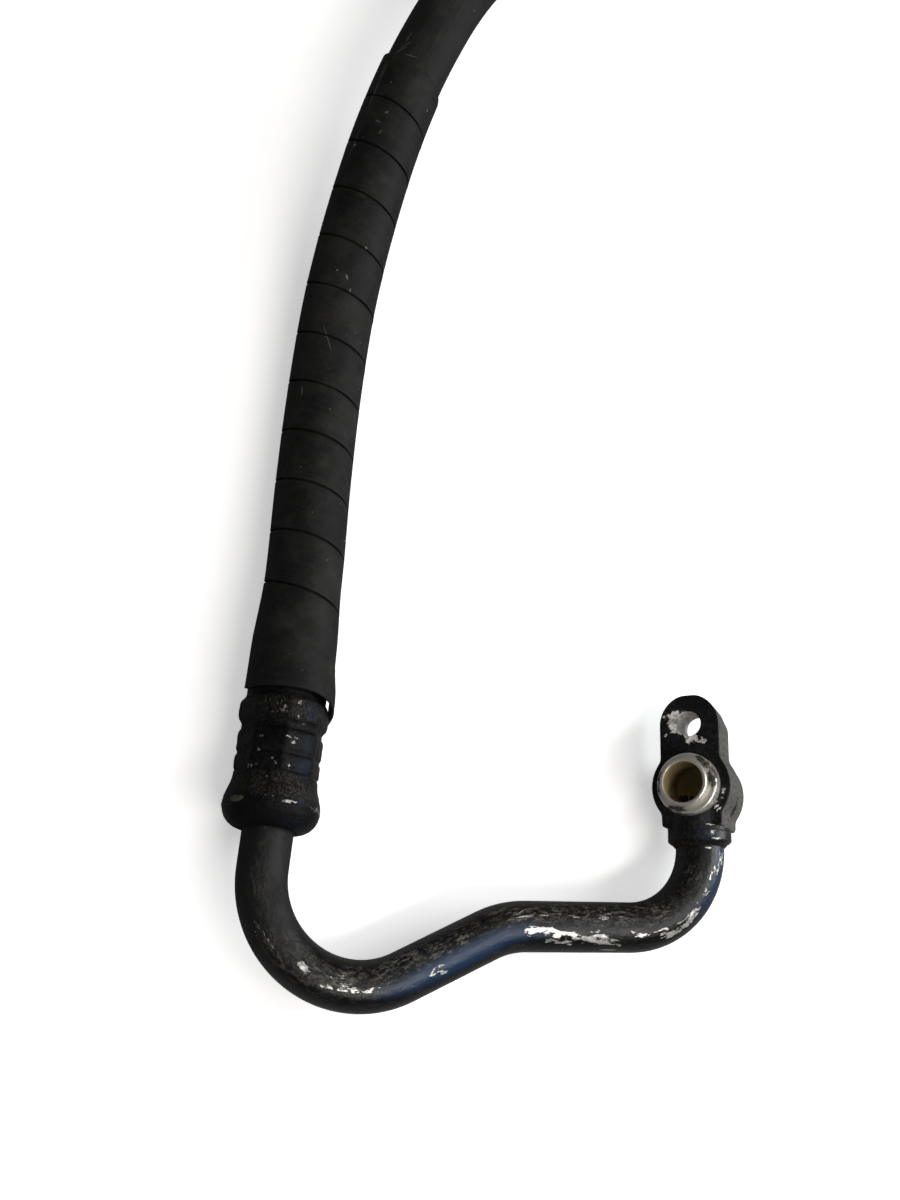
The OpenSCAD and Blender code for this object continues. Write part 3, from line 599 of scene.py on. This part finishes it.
def closed_profile(points, step):
    """Points about a step apart round a closed profile, with its corners kept."""
    points = np.array(points, float)
    filled = []
    for start, end in zip(points, np.roll(points, -1, 0)):
        count = max(1, round(np.linalg.norm(end - start) / step))
        filled += [start + (end - start) * k / count for k in range(count)]
    return np.array(filled)


def turned_piece(name, profile, sides, place, shape=None, sharp=40):
    """A turned piece with its axis along its own Z. A shape function may press its outside."""
    angle = np.linspace(0, 2 * math.pi, sides, endpoint=False)
    r, z = profile[:, :1], profile[:, 1:]
    radius = shape(r, z, angle[None]) if shape else r + 0 * angle
    grid = np.stack([radius * np.cos(angle), radius * np.sin(angle), z + 0 * radius], -1) * mm
    run = np.concatenate([[0], np.cumsum(np.linalg.norm(np.diff(profile, axis=0), axis=1))]) * mm
    piece = skin(name, grid, 2 * math.pi * profile[:, 0].max() * mm, run, sharp=sharp)
    piece.data.transform(place)
    return piece


def crimped_shape(phase):
    """Presses the jaws' flats and ribs, and small dents, into the outside of a ferrule."""
    def shape(r, z, angle):
        outside = r > ferrule_bore_r + 0.48
        jaw = (angle / (2 * math.pi) * crimp_jaws + phase) % 1 - 0.5
        rib = rib_height * np.exp(-(jaw * 2 * math.pi * barrel_r / crimp_jaws / rib_width) ** 2)
        flat = flat_depth * (1 - np.cos(2 * math.pi * jaw)) / 2
        crimped = ease((z - crimp_from) / 1.5) * ease((crimp_to - z) / 1.5)
        dents = np.sin(3 * angle + 0.9 * z + phase) * np.sin(7 * angle - 0.6 * z)
        dents = dents + 0.6 * np.sin(13 * angle + 1.7 * z + 2 * phase)
        dented = dent_depth * ease((z - 2) / 4) * ease((crimp_to + 1 - z) / 2)
        pressed = crimped * (rib - 0.12 - flat) + dented * dents
        return np.minimum(r + np.where(outside, pressed, 0), collar_r)
    return shape


def ferrule_wear(tree, place, lay):
    """Chips on the ridge, the bands and the collar's crease, the bright ones on the ridge and crease
    partly a painted highlight; painted blue reflections on the facets beside the ribs; painted shade,
    darker and duller, on the closed end below the crease; and dust on the flare behind the collar."""
    return {
        # The bright chips on the ridge and the collar's crease are partly real chips and partly a painted
        # highlight.
        "Rubbed_and_Highlight": spots(tree, frayed(tree, place, (2.2, 2.2, 2.2), 700), [
            ((-5.3, -12.4, 37), (7, 5, 4.2), 0, 0.7), ((2.6, -13.6, 39.2), (2.4, 3, 1), 0, 0.75),
            ((2, -13.2, 34.9), (1.8, 3, 1.6), 0, 0.75), ((5, -12.4, 33), (1.4, 3, 0.6), 0, 0.75),
            ((-7.6, -10.4, 27.6), (0.6, 3, 0.5), 0, 0.9), ((-8.1, -9.4, 23.6), (0.6, 3, 0.5), 0, 1),
            ((-9.6, -8.2, 18.5), (0.8, 3, 0.7), 0, 1), ((-7.8, -9.7, 18.9), (0.7, 3, 0.6), 0, 1),
            ((-3.6, -12.4, 21), (0.7, 3, 0.5), 0, 0.9), ((-2.9, -12.5, 19.8), (0.6, 3, 0.6), 0, 1),
            ((1.5, -12.5, 19.3), (0.7, 3, 0.7), 0, 1), ((0.2, -13.2, 28), (2, 3, 0.5), 0, 0.9),
            ((1.7, -12.8, 27.1), (1.1, 3, 0.7), 0, 1), ((3, -15, 8.4), (3.6, 4, 0.8), 0, 1),
            ((-4.5, -14.6, 9), (4.2, 4, 0.8), 0, 0.8), ((11.8, -9.7, 7.9), (3.4, 5, 1.2), 0, 0.85),
            ((14.4, -5, 7.5), (2, 5, 1.1), 0, 0.9), ((-5, -13.6, 14), (8, 4, 4), 0, 0.5),
            ((4.5, -12.5, 27.5), (6, 4, 2.2), 0, 0.5), ((6.5, -13.3, 12.2), (3, 4, 1.2), 0, 0.75),
        ]),
        # Painted blue reflections on the facets beside the ribs.
        "Blue": spots(tree, frayed(tree, place, (4, 4, 4), 250), [
            ((5.8, -12.2, 36.9), (3.6, 5, 4), 0, 0.7), ((6.7, -11, 27), (3.4, 5, 3.8), 0, 0.75),
            ((6.2, -11.2, 20), (3.6, 5, 3.8), 0, 0.9), ((6.4, -13.4, 8.6), (2.4, 4, 1.2), 0, 1),
            ((4.5, -10, 2), (5, 8, 3), 0, 0.4),
        ]),
        "Grain": add(tree, "Mapping", {"Vector": place, "Scale": (2.2, 2.2, 1.1)}).outputs[0],
        "Worn": spots(tree, place, [((-12.4, -8.9, 7.9), (4.4, 6, 1.8), 0, 0.62)]),
        # Painted shade on the closed end below the crease: darker and duller.
        "Dull_and_Shade": spots(tree, frayed(tree, place, (2, 2, 2), 300), [
            ((-5, -11, 2.4), (16, 14, 6.4), 0, 0.9), ((0, 0, 0), (14, 14, 4.5), 0, 0.9)]),
        "Dirtiness": combine(tree, spots(tree, place, [
            ((0, -10, 13), (20, 15, 6), 0, 1), ((0, -10, 37), (17, 10, 6), 0, 0.5),
        ]), 0.1, "ADD", True),
    }


ferrules = {}
along_y = Matrix.Rotation(math.radians(-90), 4, "X")
for node, seat, phase in [
    ("crimp_ferrule", near_end @ along_y, 0.544), ("far_ferrule", far_end @ along_y.inverted(), 0.8),
]:
    steel = finish(node + "_steel", chipped, {
        "Paint": (0.0016, 0.0016, 0.0018, 1), "Tint_and_Reflection": (0.005, 0.010, 0.024, 1),
        "Dirt": (0.098, 0.090, 0.076, 1), "Metal": (0.55, 0.53, 0.50, 1), "Bare": (0.12, 0.12, 0.09, 1),
        "Chips": 0.25, "Gloss": 0.26, "Shine": 0.9,
    }, bump=1.0, bump_depth=0.7, worn=ferrule_wear, gleam=0.11, seat=seat)
    profile = closed_profile(ferrule_profile, 0.5)
    cup = turned_piece(node + "_piece", profile, 160, seat, crimped_shape(phase))
    ferrules[node] = settle(cup, "hose_assembly", steel, node)

# The flange block: forged steel, milled flat on its face and one side and painted with the tube.
# One bolt through its ear pulls the port home, and the tube is brazed into its round neck.
boss_r, ear_r, ear_flat, ear_taper, hole_spacing, bolt_hole_d = 13.5, 10.2, 0.35, 1.1, 21, 8.4
block_half, ear_back, body_drop, foot_y, neck_y, neck_r, block_roll = 8, -3, 1.6, 13.5, 18.3, 10.5, -45
port_bore_r, shank_hole_r, shank_floor, recess_r, recess_floor = 6.7, 9.45, 2.5, 10.55, 7.6
socket_floor, socket_gap, past_face, past_neck, on_axis = 14.0, 0.05, 12, 24, 0.001
block_place = Matrix.Translation((block_x * mm, block_y * mm, collar_r * mm)) @ Matrix.Rotation(
    math.radians(block_roll), 4, "Y")


def arc(x, y, radius, start, end, count):
    turn = np.radians(np.linspace(start, end, count))
    return np.stack([x + radius * np.cos(turn), y + radius * np.sin(turn)], -1)


def softened(outline, step, spread):
    """An outline with points a step apart and its corners rounded."""
    ring = np.vstack([outline, outline[:1]])
    run = np.concatenate([[0], np.cumsum(np.linalg.norm(np.diff(ring, axis=0), axis=1))])
    at = np.linspace(0, run[-1], round(run[-1] / step), endpoint=False)
    points = np.stack([np.interp(at, run, ring[:, k]) for k in range(2)], -1)
    reach = round(4 * spread / step)
    weights = np.exp(-0.5 * (np.arange(-reach, reach + 1) * step / spread) ** 2)
    return sum(w * np.roll(points, k - reach, 0) for k, w in enumerate(weights / weights.sum()))


def prism(outline, low, high, back=None):
    """A solid between two heights on an outline, as a mesh object. Its low end may have its own."""
    count = len(outline)
    ends = (outline if back is None else back, low), (outline, high)
    points = [(x * mm, y * mm, z * mm) for points, z in ends for x, y in points]
    sides = [(k, (k + 1) % count, (k + 1) % count + count, k + count) for k in range(count)]
    mesh = bpy.data.meshes.new("prism")
    mesh.from_pydata(points, [], sides + [tuple(range(count))[::-1], tuple(range(count, 2 * count))])
    return placed("prism", mesh)


def applied(piece):
    """Turns a piece's modifiers into its mesh."""
    shown = piece.evaluated_get(bpy.context.evaluated_depsgraph_get())
    mesh = bpy.data.meshes.new_from_object(shown)
    piece.modifiers.clear()
    piece.data = mesh
    return piece


def joined(piece, tool, operation):
    """Adds or cuts one solid by another, which is then thrown away."""
    boolean = piece.modifiers.new("boolean", "BOOLEAN")
    boolean.operation, boolean.object, boolean.solver = operation, tool, "EXACT"
    applied(piece)
    bpy.data.objects.remove(tool)
    return piece


def drill(radius, start, end):
    """The profile of a straight hole or pin, from the axis out and back."""
    return [(on_axis, start), (radius, start), (radius, end), (on_axis, end)]


waist_y = math.sqrt(boss_r**2 - ear_r**2)
turn_in = math.degrees(math.atan2(waist_y, ear_r))
ear = arc(0, hole_spacing, ear_r, 0, 180, 40)
ear[:, 1] = np.minimum(ear[:, 1], hole_spacing + ear_r - ear_flat)
left_side = arc(0, 0, boss_r, 180 - turn_in, 180 + turn_in, 24)
right_side = arc(0, 0, boss_r, -turn_in, turn_in, 24)
foot = np.array([[-ear_r, -foot_y], [ear_r, -foot_y]])
face_outline = softened(np.vstack([ear, left_side, foot, right_side]), 0.8, 0.8)
# The ear tapers at its upper right towards its back, and the back body sits a little lower.
turn = np.arctan2(face_outline[:, 1] - hole_spacing, face_outline[:, 0])
taper = ear_taper * ease((turn + 0.2) / 0.5) * ease((1.7 - turn) / 0.5) * (face_outline[:, 1] > 15)
back_outline = face_outline - taper[:, None] * np.stack([np.cos(turn), np.sin(turn)], -1)
body_outline = softened(np.vstack([
    arc(0, -body_drop, boss_r, turn_in, 180 - turn_in, 30), left_side - [0, body_drop], foot - [0, 0.6],
    right_side - [0, body_drop],
]), 0.8, 0.8) * [0.985, 1]
flange_block = prism(face_outline, ear_back, block_half, back_outline)
joined(flange_block, prism(body_outline, -block_half, ear_back + 1), "UNION")
neck_profile = [(on_axis, block_half), (neck_r, block_half), (neck_r, 14.6), (neck_r - 0.18, 14.75)]
neck_profile += [(neck_r - 0.18, 15.0), (neck_r, 15.15), (neck_r, neck_y - 0.6), (neck_r - 0.6, neck_y)]
neck_profile += [(on_axis, neck_y)]
bore_profile = [(on_axis, -6.6), (3, -6.0), (5, -4.4), (6.3, -2.2), (port_bore_r, 0), (port_bore_r, 4)]
bore_profile += [(on_axis, 4)]
upright, facing_down = Matrix(), Matrix.Rotation(math.radians(90), 4, "X")
in_ear = Matrix.Translation((0, hole_spacing * mm, 0))
for operation, name, profile, way in [
    ("UNION", "neck", neck_profile, facing_down),
    ("DIFFERENCE", "shank_hole", drill(shank_hole_r, shank_floor, past_face), upright),
    ("DIFFERENCE", "recess", drill(recess_r, recess_floor, past_face), upright),
    ("DIFFERENCE", "bore", bore_profile, upright),
    ("DIFFERENCE", "channel", drill(tube_bore_r, 1, past_neck), facing_down),
    ("DIFFERENCE", "socket", drill(tube_r + socket_gap, socket_floor, past_neck), facing_down),
    ("DIFFERENCE", "bolt_hole", drill(bolt_hole_d / 2, -past_face, past_face), in_ear),
]:
    joined(flange_block, turned_piece(name, np.array(profile), 64, way), operation)
# The cuts leave slivers, which are welded away before the edges are broken by a small round.
flange_block.modifiers.new("weld", "WELD").merge_threshold = 0.02 * mm
bevel = flange_block.modifiers.new("bevel", "BEVEL")
bevel.width, bevel.segments, bevel.miter_outer = 0.4 * mm, 3, "MITER_ARC"
bevel.limit_method, bevel.angle_limit = "ANGLE", math.radians(40)
applied(flange_block)
flange_block.name = "flange_block_piece"
flange_block.data.shade_smooth()
flange_block.data.set_sharp_from_angle(angle=math.radians(35))
flange_block.modifiers.new("flat_faces", "WEIGHTED_NORMAL").keep_sharp = True
applied(flange_block)


def block_wear(tree, place, lay):
    """The bare side that a mill has faced, the bright seat round the bolt hole, nicks, and a painted
    blue-grey reflection on the neck.
    """
    facing = add(tree, "Mapping", {
        "Vector": add(tree, "TexCoord").outputs["Normal"], "Rotation": block_place.to_euler(),
    }, vector_type="TEXTURE").outputs[0]
    apart = add(tree, "SeparateXYZ", {0: facing}).outputs
    spot_of = add(tree, "SeparateXYZ", {0: place}).outputs
    side = ramp(tree, apart["X"], 0.25, 0.6)
    side = combine(tree, side, spots(tree, place, [((11.5, -7.5, -2), (8, 12, 1.6), 0, 1.0)]), "MAXIMUM")
    bared = ramp(tree, spot_of["Y"], 3 * mm, 9 * mm, 0.66, 0.95)
    below = ramp(tree, spot_of["Z"], (block_half - 0.5) * mm, (block_half - 1.4) * mm)
    above = ramp(tree, spot_of["Y"], -(foot_y + 0.9) * mm, -(foot_y + 0.1) * mm)
    seat = spots(tree, frayed(tree, place, (2.4, 2.4, 0), 600), [
        ((-2.6, 22, 8), (7.2, 7.4, 9), 0, 1.2), ((0.3, 16, 8), (3.8, 2.6, 9), 0, 1.1),
        ((4.8, 15, 8), (3, 1, 9), 0, 1),
    ])
    painted = spots(tree, place, [
        ((-5.2, 14.8, 8), (4.8, 4, 6), 0, 2), ((8.6, 22, 8), (5.4, 10.5, 5), 0, 2),
        ((4.5, 29.5, 8), (9, 5.4, 6), 0, 2),
    ])
    nicks = spots(tree, frayed(tree, place, (1, 1, 1), 900), [
        ((8.3, -6.3, 8), (1.9, 0.35, 2), 35, 1), ((8.9, -7.3, 8), (1.9, 0.35, 2), 35, 1),
        ((9.5, -8.3, 8), (1.7, 0.35, 2), 35, 1), ((11.3, -2.2, 8), (1.4, 2.4, 2), 0, 0.8),
        ((11.4, 1, 8), (1.7, 1.5, 2), 0, 0.8), ((10.9, -4.6, 8), (1, 1, 2), 0, 0.8),
        ((6, -13.3, 8), (3, 0.4, 2), 0, 0.9), ((-8.3, 17.8, 8), (0.9, 1.1, 2), 0, 0.85),
        ((-8.6, 24.2, 8), (0.8, 0.8, 2), 0, 0.85), ((6.5, -15.8, 8), (4, 1.8, 6), 20, 0.6),
        ((8, -17.7, 6), (2.4, 0.5, 5), 0, 0.8),
    ])
    return {
        "Worn": combine(tree, combine(tree, side, bared), combine(tree, below, above)),
        "Rubbed_and_Highlight": combine(tree, combine(tree, seat, painted, "SUBTRACT", True), nicks, "MAXIMUM"),
        # A painted blue-grey reflection on the neck.
        "Blue": spots(tree, place, [((5, -16.5, 8), (6.5, 3.2, 9), 0, 0.6)]),
    }


block_paint = finish("block_paint", chipped, {
    "Tint_and_Reflection": (0.012, 0.018, 0.030, 1), "Dirt": (0.075, 0.070, 0.060, 1),
    "Paint": (0.008, 0.008, 0.0088, 1), "Metal": (0.96, 0.94, 0.865, 1), "Bare": (0.12, 0.117, 0.108, 1),
    "Dirtiness": 0.4, "Chips": 0.05, "Gloss": 0.22, "Shine": 0.0,
}, bump=0.6, bump_depth=0.35, worn=block_wear, gleam=0.25, seat=block_place)

# Machined steel: fine lines round a turned face, torn stains, and oil that browns it.
machined, given, out = effect("machined_steel", {
    "Place": (0, 0, 0), "Lay": (0, 0, 0), "Grain": (0, 0, 0), "Metal": (0.62, 0.59, 0.53, 1),
    "Stain": (0.14, 0.11, 0.07, 1), "Stains": 0.4, "Polish": 0.2, "Shine": 1.0, "Oiled": 0.0,
}, ["Color", "Roughness", "Metallic", "Height"])
tree = machined
lines = add(tree, "Mapping", {"Vector": given["Lay"], "Scale": (40, 6000, 1)}).outputs[0]
lines = noise(tree, lines, 1, 2)[0]
ragged = noise(tree, given["Grain"], 520, 6, 0.78)[0]
stain = ramp(tree, combine(tree, given["Stains"], ragged, "ADD"), 0.93, 1.05, soft=True)
oil = blotches(tree, given["Place"], 110, 0.4, 0.62, 3, 0.5)
dark_oil, pale_oil = (0.24, 0.17, 0.095, 1), (0.38, 0.31, 0.16, 1)
steel = blend_colour(tree, stain, given["Metal"], given["Stain"])
oily = blend_colour(tree, oil, dark_oil, pale_oil)
tree.links.new(blend_colour(tree, given["Oiled"], steel, oily), out["Color"])
dulling = combine(tree, combine(tree, lines, 0.15), combine(tree, stain, 0.35), "ADD")
tree.links.new(combine(tree, given["Polish"], dulling, "ADD", True), out["Roughness"])
clean = combine(tree, ramp(tree, stain, 0, 1, 1.0, 0.5), given["Shine"])
bright = combine(tree, clean, combine(tree, given["Oiled"], 0.9), "SUBTRACT", True)
tree.links.new(bright, out["Metallic"])
tree.links.new(lines, out["Height"])

oiled_bore = finish("oiled_bore", machined, {
    "Metal": (0.72, 0.57, 0.32, 1), "Stain": (0.3, 0.2, 0.1, 1), "Stains": 0.3, "Polish": 0.3,
    "Shine": 0.15,
}, bump=0)
drilled_steel = finish("drilled_steel", machined, {
    "Metal": (0.66, 0.64, 0.61, 1), "Stain": (0.25, 0.18, 0.16, 1), "Stains": 0.42, "Polish": 0.45,
    "Shine": 0.8,
}, bump=0)
settle(flange_block, "hose_assembly", block_paint, "flange_block")
flange_block.data.materials.append(oiled_bore)
flange_block.data.materials.append(drilled_steel)
x, y, z = np.array([face.center for face in flange_block.data.polygons]).T / mm
in_bore = (np.hypot(x, y) < port_bore_r + 0.2) & (z < 4.2) & (z > -7)
in_bolt_hole = (np.hypot(x, y - hole_spacing) < bolt_hole_d / 2 + 0.05) & (z < block_half - 0.3)
flange_block.data.polygons.foreach_set("material_index", (in_bore + 2 * in_bolt_hole).astype(np.int32))
flange_block.data.transform(block_place)

# The port spigot: turned steel, pressed into the block's face with a seal round its shank. Its
# shoulder seats in the port, a thin relief groove runs behind the lip that guides it in, and the
# bore is stained by warm oil.
shank_r, shank_back, ring_groove_r, shoulder_r, shoulder_top = 9.4, 2.6, 7.9, 10.4, 12.5
relief_r, relief_top, lip_r, lip_top = 7.7, 13.5, 8.1, 15.8
spigot_profile = [
    (port_bore_r, shank_back), (shank_r, shank_back), (shank_r, 4.25), (ring_groove_r, 4.25),
    (ring_groove_r, 5.85), (shank_r, 5.85), (shank_r, 7.65), (shoulder_r - 0.3, 7.65), (shoulder_r, 7.95),
    (shoulder_r, 11.6), (10.3, 11.95), (10.1, 12.2), (9.7, 12.42), (9.2, shoulder_top),
    (relief_r, shoulder_top), (relief_r, relief_top), (lip_r - 0.1, relief_top), (lip_r, 13.6),
    (lip_r, 15.2), (8.0, 15.5), (7.75, 15.75), (7.4, lip_top), (7.05, 15.75), (6.8, 15.5),
    (port_bore_r, 15.2),
]


def port_wear(tree, place, lay):
    """Stains on the shoulder, and oil in the bore up to the inner edge of the lip."""
    stains = spots(tree, place, [
        ((-3.5, -9.2, 12.3), (7.5, 2.6, 3), -15, 0.22), ((-8.6, 3.5, 12.3), (2.4, 6, 3), 0, 0.18),
        ((6, 6.6, 12.3), (5, 2.6, 3), -45, 0.18), ((9, 1.5, 12.3), (2.6, 6, 4), 0, 0.2),
        ((-9.8, -3, 10.5), (2.4, 9, 4), 0, 0.15),
    ])
    across = add(tree, "VectorMath", {0: place, 1: (1, 1, 0)}, operation="MULTIPLY").outputs[0]
    from_axis = add(tree, "VectorMath", {0: across}, operation="LENGTH").outputs["Value"]
    return {
        "Stains": combine(tree, stains, 0.35, "ADD", True),
        "Oiled": ramp(tree, from_axis, (port_bore_r + 0.35) * mm, (port_bore_r + 0.1) * mm),
        "Grain": add(tree, "Mapping", {"Vector": lay, "Scale": (0.3, 1, 1)}).outputs[0],
    }


port_steel = finish("port_steel", machined, {
    "Metal": (0.90, 0.87, 0.79, 1), "Stain": (0.07, 0.06, 0.045, 1), "Polish": 0.2, "Shine": 0.78,
}, bump=0.25, bump_depth=0.05, worn=port_wear, gleam=0.5, seat=block_place)
spigot = turned_piece("port_spigot_piece", closed_profile(spigot_profile, 0.6), 96, block_place)
settle(spigot, "hose_assembly", port_steel, "port_spigot")

# The swivel nut: zinc-plated steel cut from hexagon bar, chamfered at both ends, with 14 threads to
# the inch inside. A driven wire holds it on the far insert's neck, where it turns freely.
nut_flat_r, nut_corner_r, nut_face_r, nut_least_r, nut_slope = 12.7, 14.66, 12.5, 12.3, 1.73
nut_back, nut_front, nut_thread_r, nut_bore_r, nut_bore_end = 2.5, 22.5, 10.2, 8.08, 8.0
thread_pitch, thread_depth, thread_start, thread_fade = 25.4 / 14, 0.9, 8.8, 1.2
nut_profile = closed_profile([
    (nut_bore_r, nut_back), (nut_corner_r, nut_back), (nut_corner_r, nut_front),
    (nut_thread_r + 0.95, nut_front), (nut_thread_r, nut_front - 1.0), (nut_thread_r, nut_bore_end + 0.6),
    (nut_thread_r - 0.3, nut_bore_end), (nut_bore_r, nut_bore_end),
], 0.15)


def nut_shape(r, z, angle):
    """Six flats with a cone turned on both ends outside, and the thread inside."""
    flat = nut_flat_r / np.cos((angle % (math.pi / 3)) - math.pi / 6)
    chamfer = nut_face_r + nut_slope * np.minimum(z - nut_back, nut_front - z)
    hexagon = np.minimum(flat, np.maximum(chamfer, nut_least_r))
    turn = (z / thread_pitch - angle / (2 * math.pi)) % 1
    groove = np.clip(1.5 * np.abs(2 * turn - 1) - 0.25, 0, 1) * thread_depth
    groove = groove * ease((z - thread_start) / thread_fade) * ease((nut_front - 0.6 - z) / thread_fade)
    threaded = np.abs(r - nut_thread_r) < 0.01
    return np.where(r > nut_least_r, np.minimum(hexagon, r), r + np.where(threaded, groove, 0))


nut_steel = finish("nut_steel", machined, {
    "Metal": (0.50, 0.50, 0.47, 1), "Stain": (0.24, 0.22, 0.17, 1), "Stains": 0.35, "Polish": 0.28,
}, bump=0.2, bump_depth=0.05)
hexagon_nut = turned_piece("swivel_nut_piece", nut_profile, 180, far_end @ along_y, nut_shape)
swivel_nut = settle(hexagon_nut, "nut", nut_steel, "swivel_nut")

# The pieces that keep their own solids: the turned steel inserts in the hose's ends, the moulded
# rubber seals, the wire that holds the nut on its neck, and the bronze that the tube is brazed into
# the block with.
insert_steel = finish("insert_steel", machined, {
    "Metal": (0.52, 0.52, 0.50, 1), "Stains": 0.2, "Polish": 0.25,
}, bump=0.15, bump_depth=0.05)
braze_metal = finish("braze_metal", chipped, {
    "Paint": (0.010, 0.010, 0.011, 1), "Dirt": (0.10, 0.07, 0.03, 1), "Metal": (0.45, 0.32, 0.13, 1),
    "Dirtiness": 0.5, "Chips": 0.6, "Gloss": 0.3,
}, bump=0.4)
for node, material in {
    "hose_insert": insert_steel, "far_insert": insert_steel, "nut_retaining_wire": nut_steel,
    "insert_o_rings": inner_rubber, "far_insert_o_rings": inner_rubber, "far_o_ring": inner_rubber,
    "port_o_ring": inner_rubber, "block_braze": braze_metal,
}.items():
    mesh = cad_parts[node].data
    mesh.materials.clear()
    mesh.materials.append(material)

# The hose's run leaves the near ferrule's mouth and ends in the far one, tucked into both. Its inner
# layers, the guard and the whole far fitting are gathered here in one list.
carried = [piece for node, piece in hose_layers.items() if node != "hose_cover"]
carried += [guard, ferrules["far_ferrule"], swivel_nut]
for node in ("far_insert", "far_insert_o_rings", "nut_retaining_wire", "far_o_ring"):
    carried.append(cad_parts[node])

# The studio: a plain pale floor that keeps the shadows and turns white farther out, a white
# surround, and soft lamps: one overhead, one like a window on the right, and a strip in front.
floor_reach, floor_near, floor_far = 6, 0.7, 1.7
floor_seen, floor_bounce = (0.96, 0.96, 0.96, 1), (0.28, 0.28, 0.28, 1)
glow_near, glow_far = (0.5, 0.5, 0.5, 1), (1, 1, 1, 1)
corners = [(x * floor_reach, y * floor_reach, 0) for x, y in ((-1, -1), (1, -1), (1, 1), (-1, 1))]
floor_mesh = bpy.data.meshes.new("floor")
floor_mesh.from_pydata(corners, [], [(0, 1, 2, 3)])
floor = placed("floor", floor_mesh)
floor_paint = bpy.data.materials.new("floor_paint")
floor_paint.use_nodes = True
tree = floor_paint.node_tree
seen = add(tree, "LightPath").outputs["Is Camera Ray"]
away = add(tree, "TexCoord").outputs["Object"]
away = add(tree, "VectorMath", {0: away}, operation="LENGTH").outputs["Value"]
away = ramp(tree, away, floor_near, floor_far)
shader = tree.nodes["Principled BSDF"]
tree.links.new(blend_colour(tree, seen, floor_bounce, floor_seen), shader.inputs["Base Color"])
tree.links.new(seen, shader.inputs["Emission Strength"])
tree.links.new(blend_colour(tree, away, glow_near, glow_far), shader.inputs["Emission Color"])
shader.inputs["Roughness"].default_value = 0.9
shader.inputs["Specular IOR Level"].default_value = 0.1
floor_mesh.materials.append(floor_paint)

world = bpy.data.worlds.new("studio")
bpy.context.scene.world = world
world.use_nodes = True
tree = world.node_tree
surround = tree.nodes["Background"].inputs
surround["Color"].default_value = (1, 1, 1, 1)
seen = add(tree, "LightPath").outputs["Is Camera Ray"]
tree.links.new(ramp(tree, seen, 0, 1, 0.1, 1.0), surround["Strength"])
for name, place, aim, size, power, tint in [
    ("overhead", (0.4, 0.35, 1.5), (0.05, 0.1, 0), (1.6, 1.4), 4.5, (1, 0.99, 0.97)),
    ("window", (1.5, 0.3, 0.9), (0.05, 0.1, 0), (0.9, 0.9), 20, (0.96, 0.98, 1)),
    ("front", (0.45, -0.72, 1.3), (0, 0, 0), (1.2, 0.22), 12, (1, 0.98, 0.95)),
]:
    lamp = placed(name, bpy.data.lights.new(name, "AREA"))
    lamp.data.shape = "RECTANGLE"
    lamp.data.size, lamp.data.size_y = size
    lamp.data.energy = power
    lamp.data.color = tint
    lamp.location = place
    lamp.rotation_euler = (Vector(aim) - Vector(place)).to_track_quat("-Z", "Y").to_euler()
bpy.context.scene.view_settings.view_transform = "Standard"
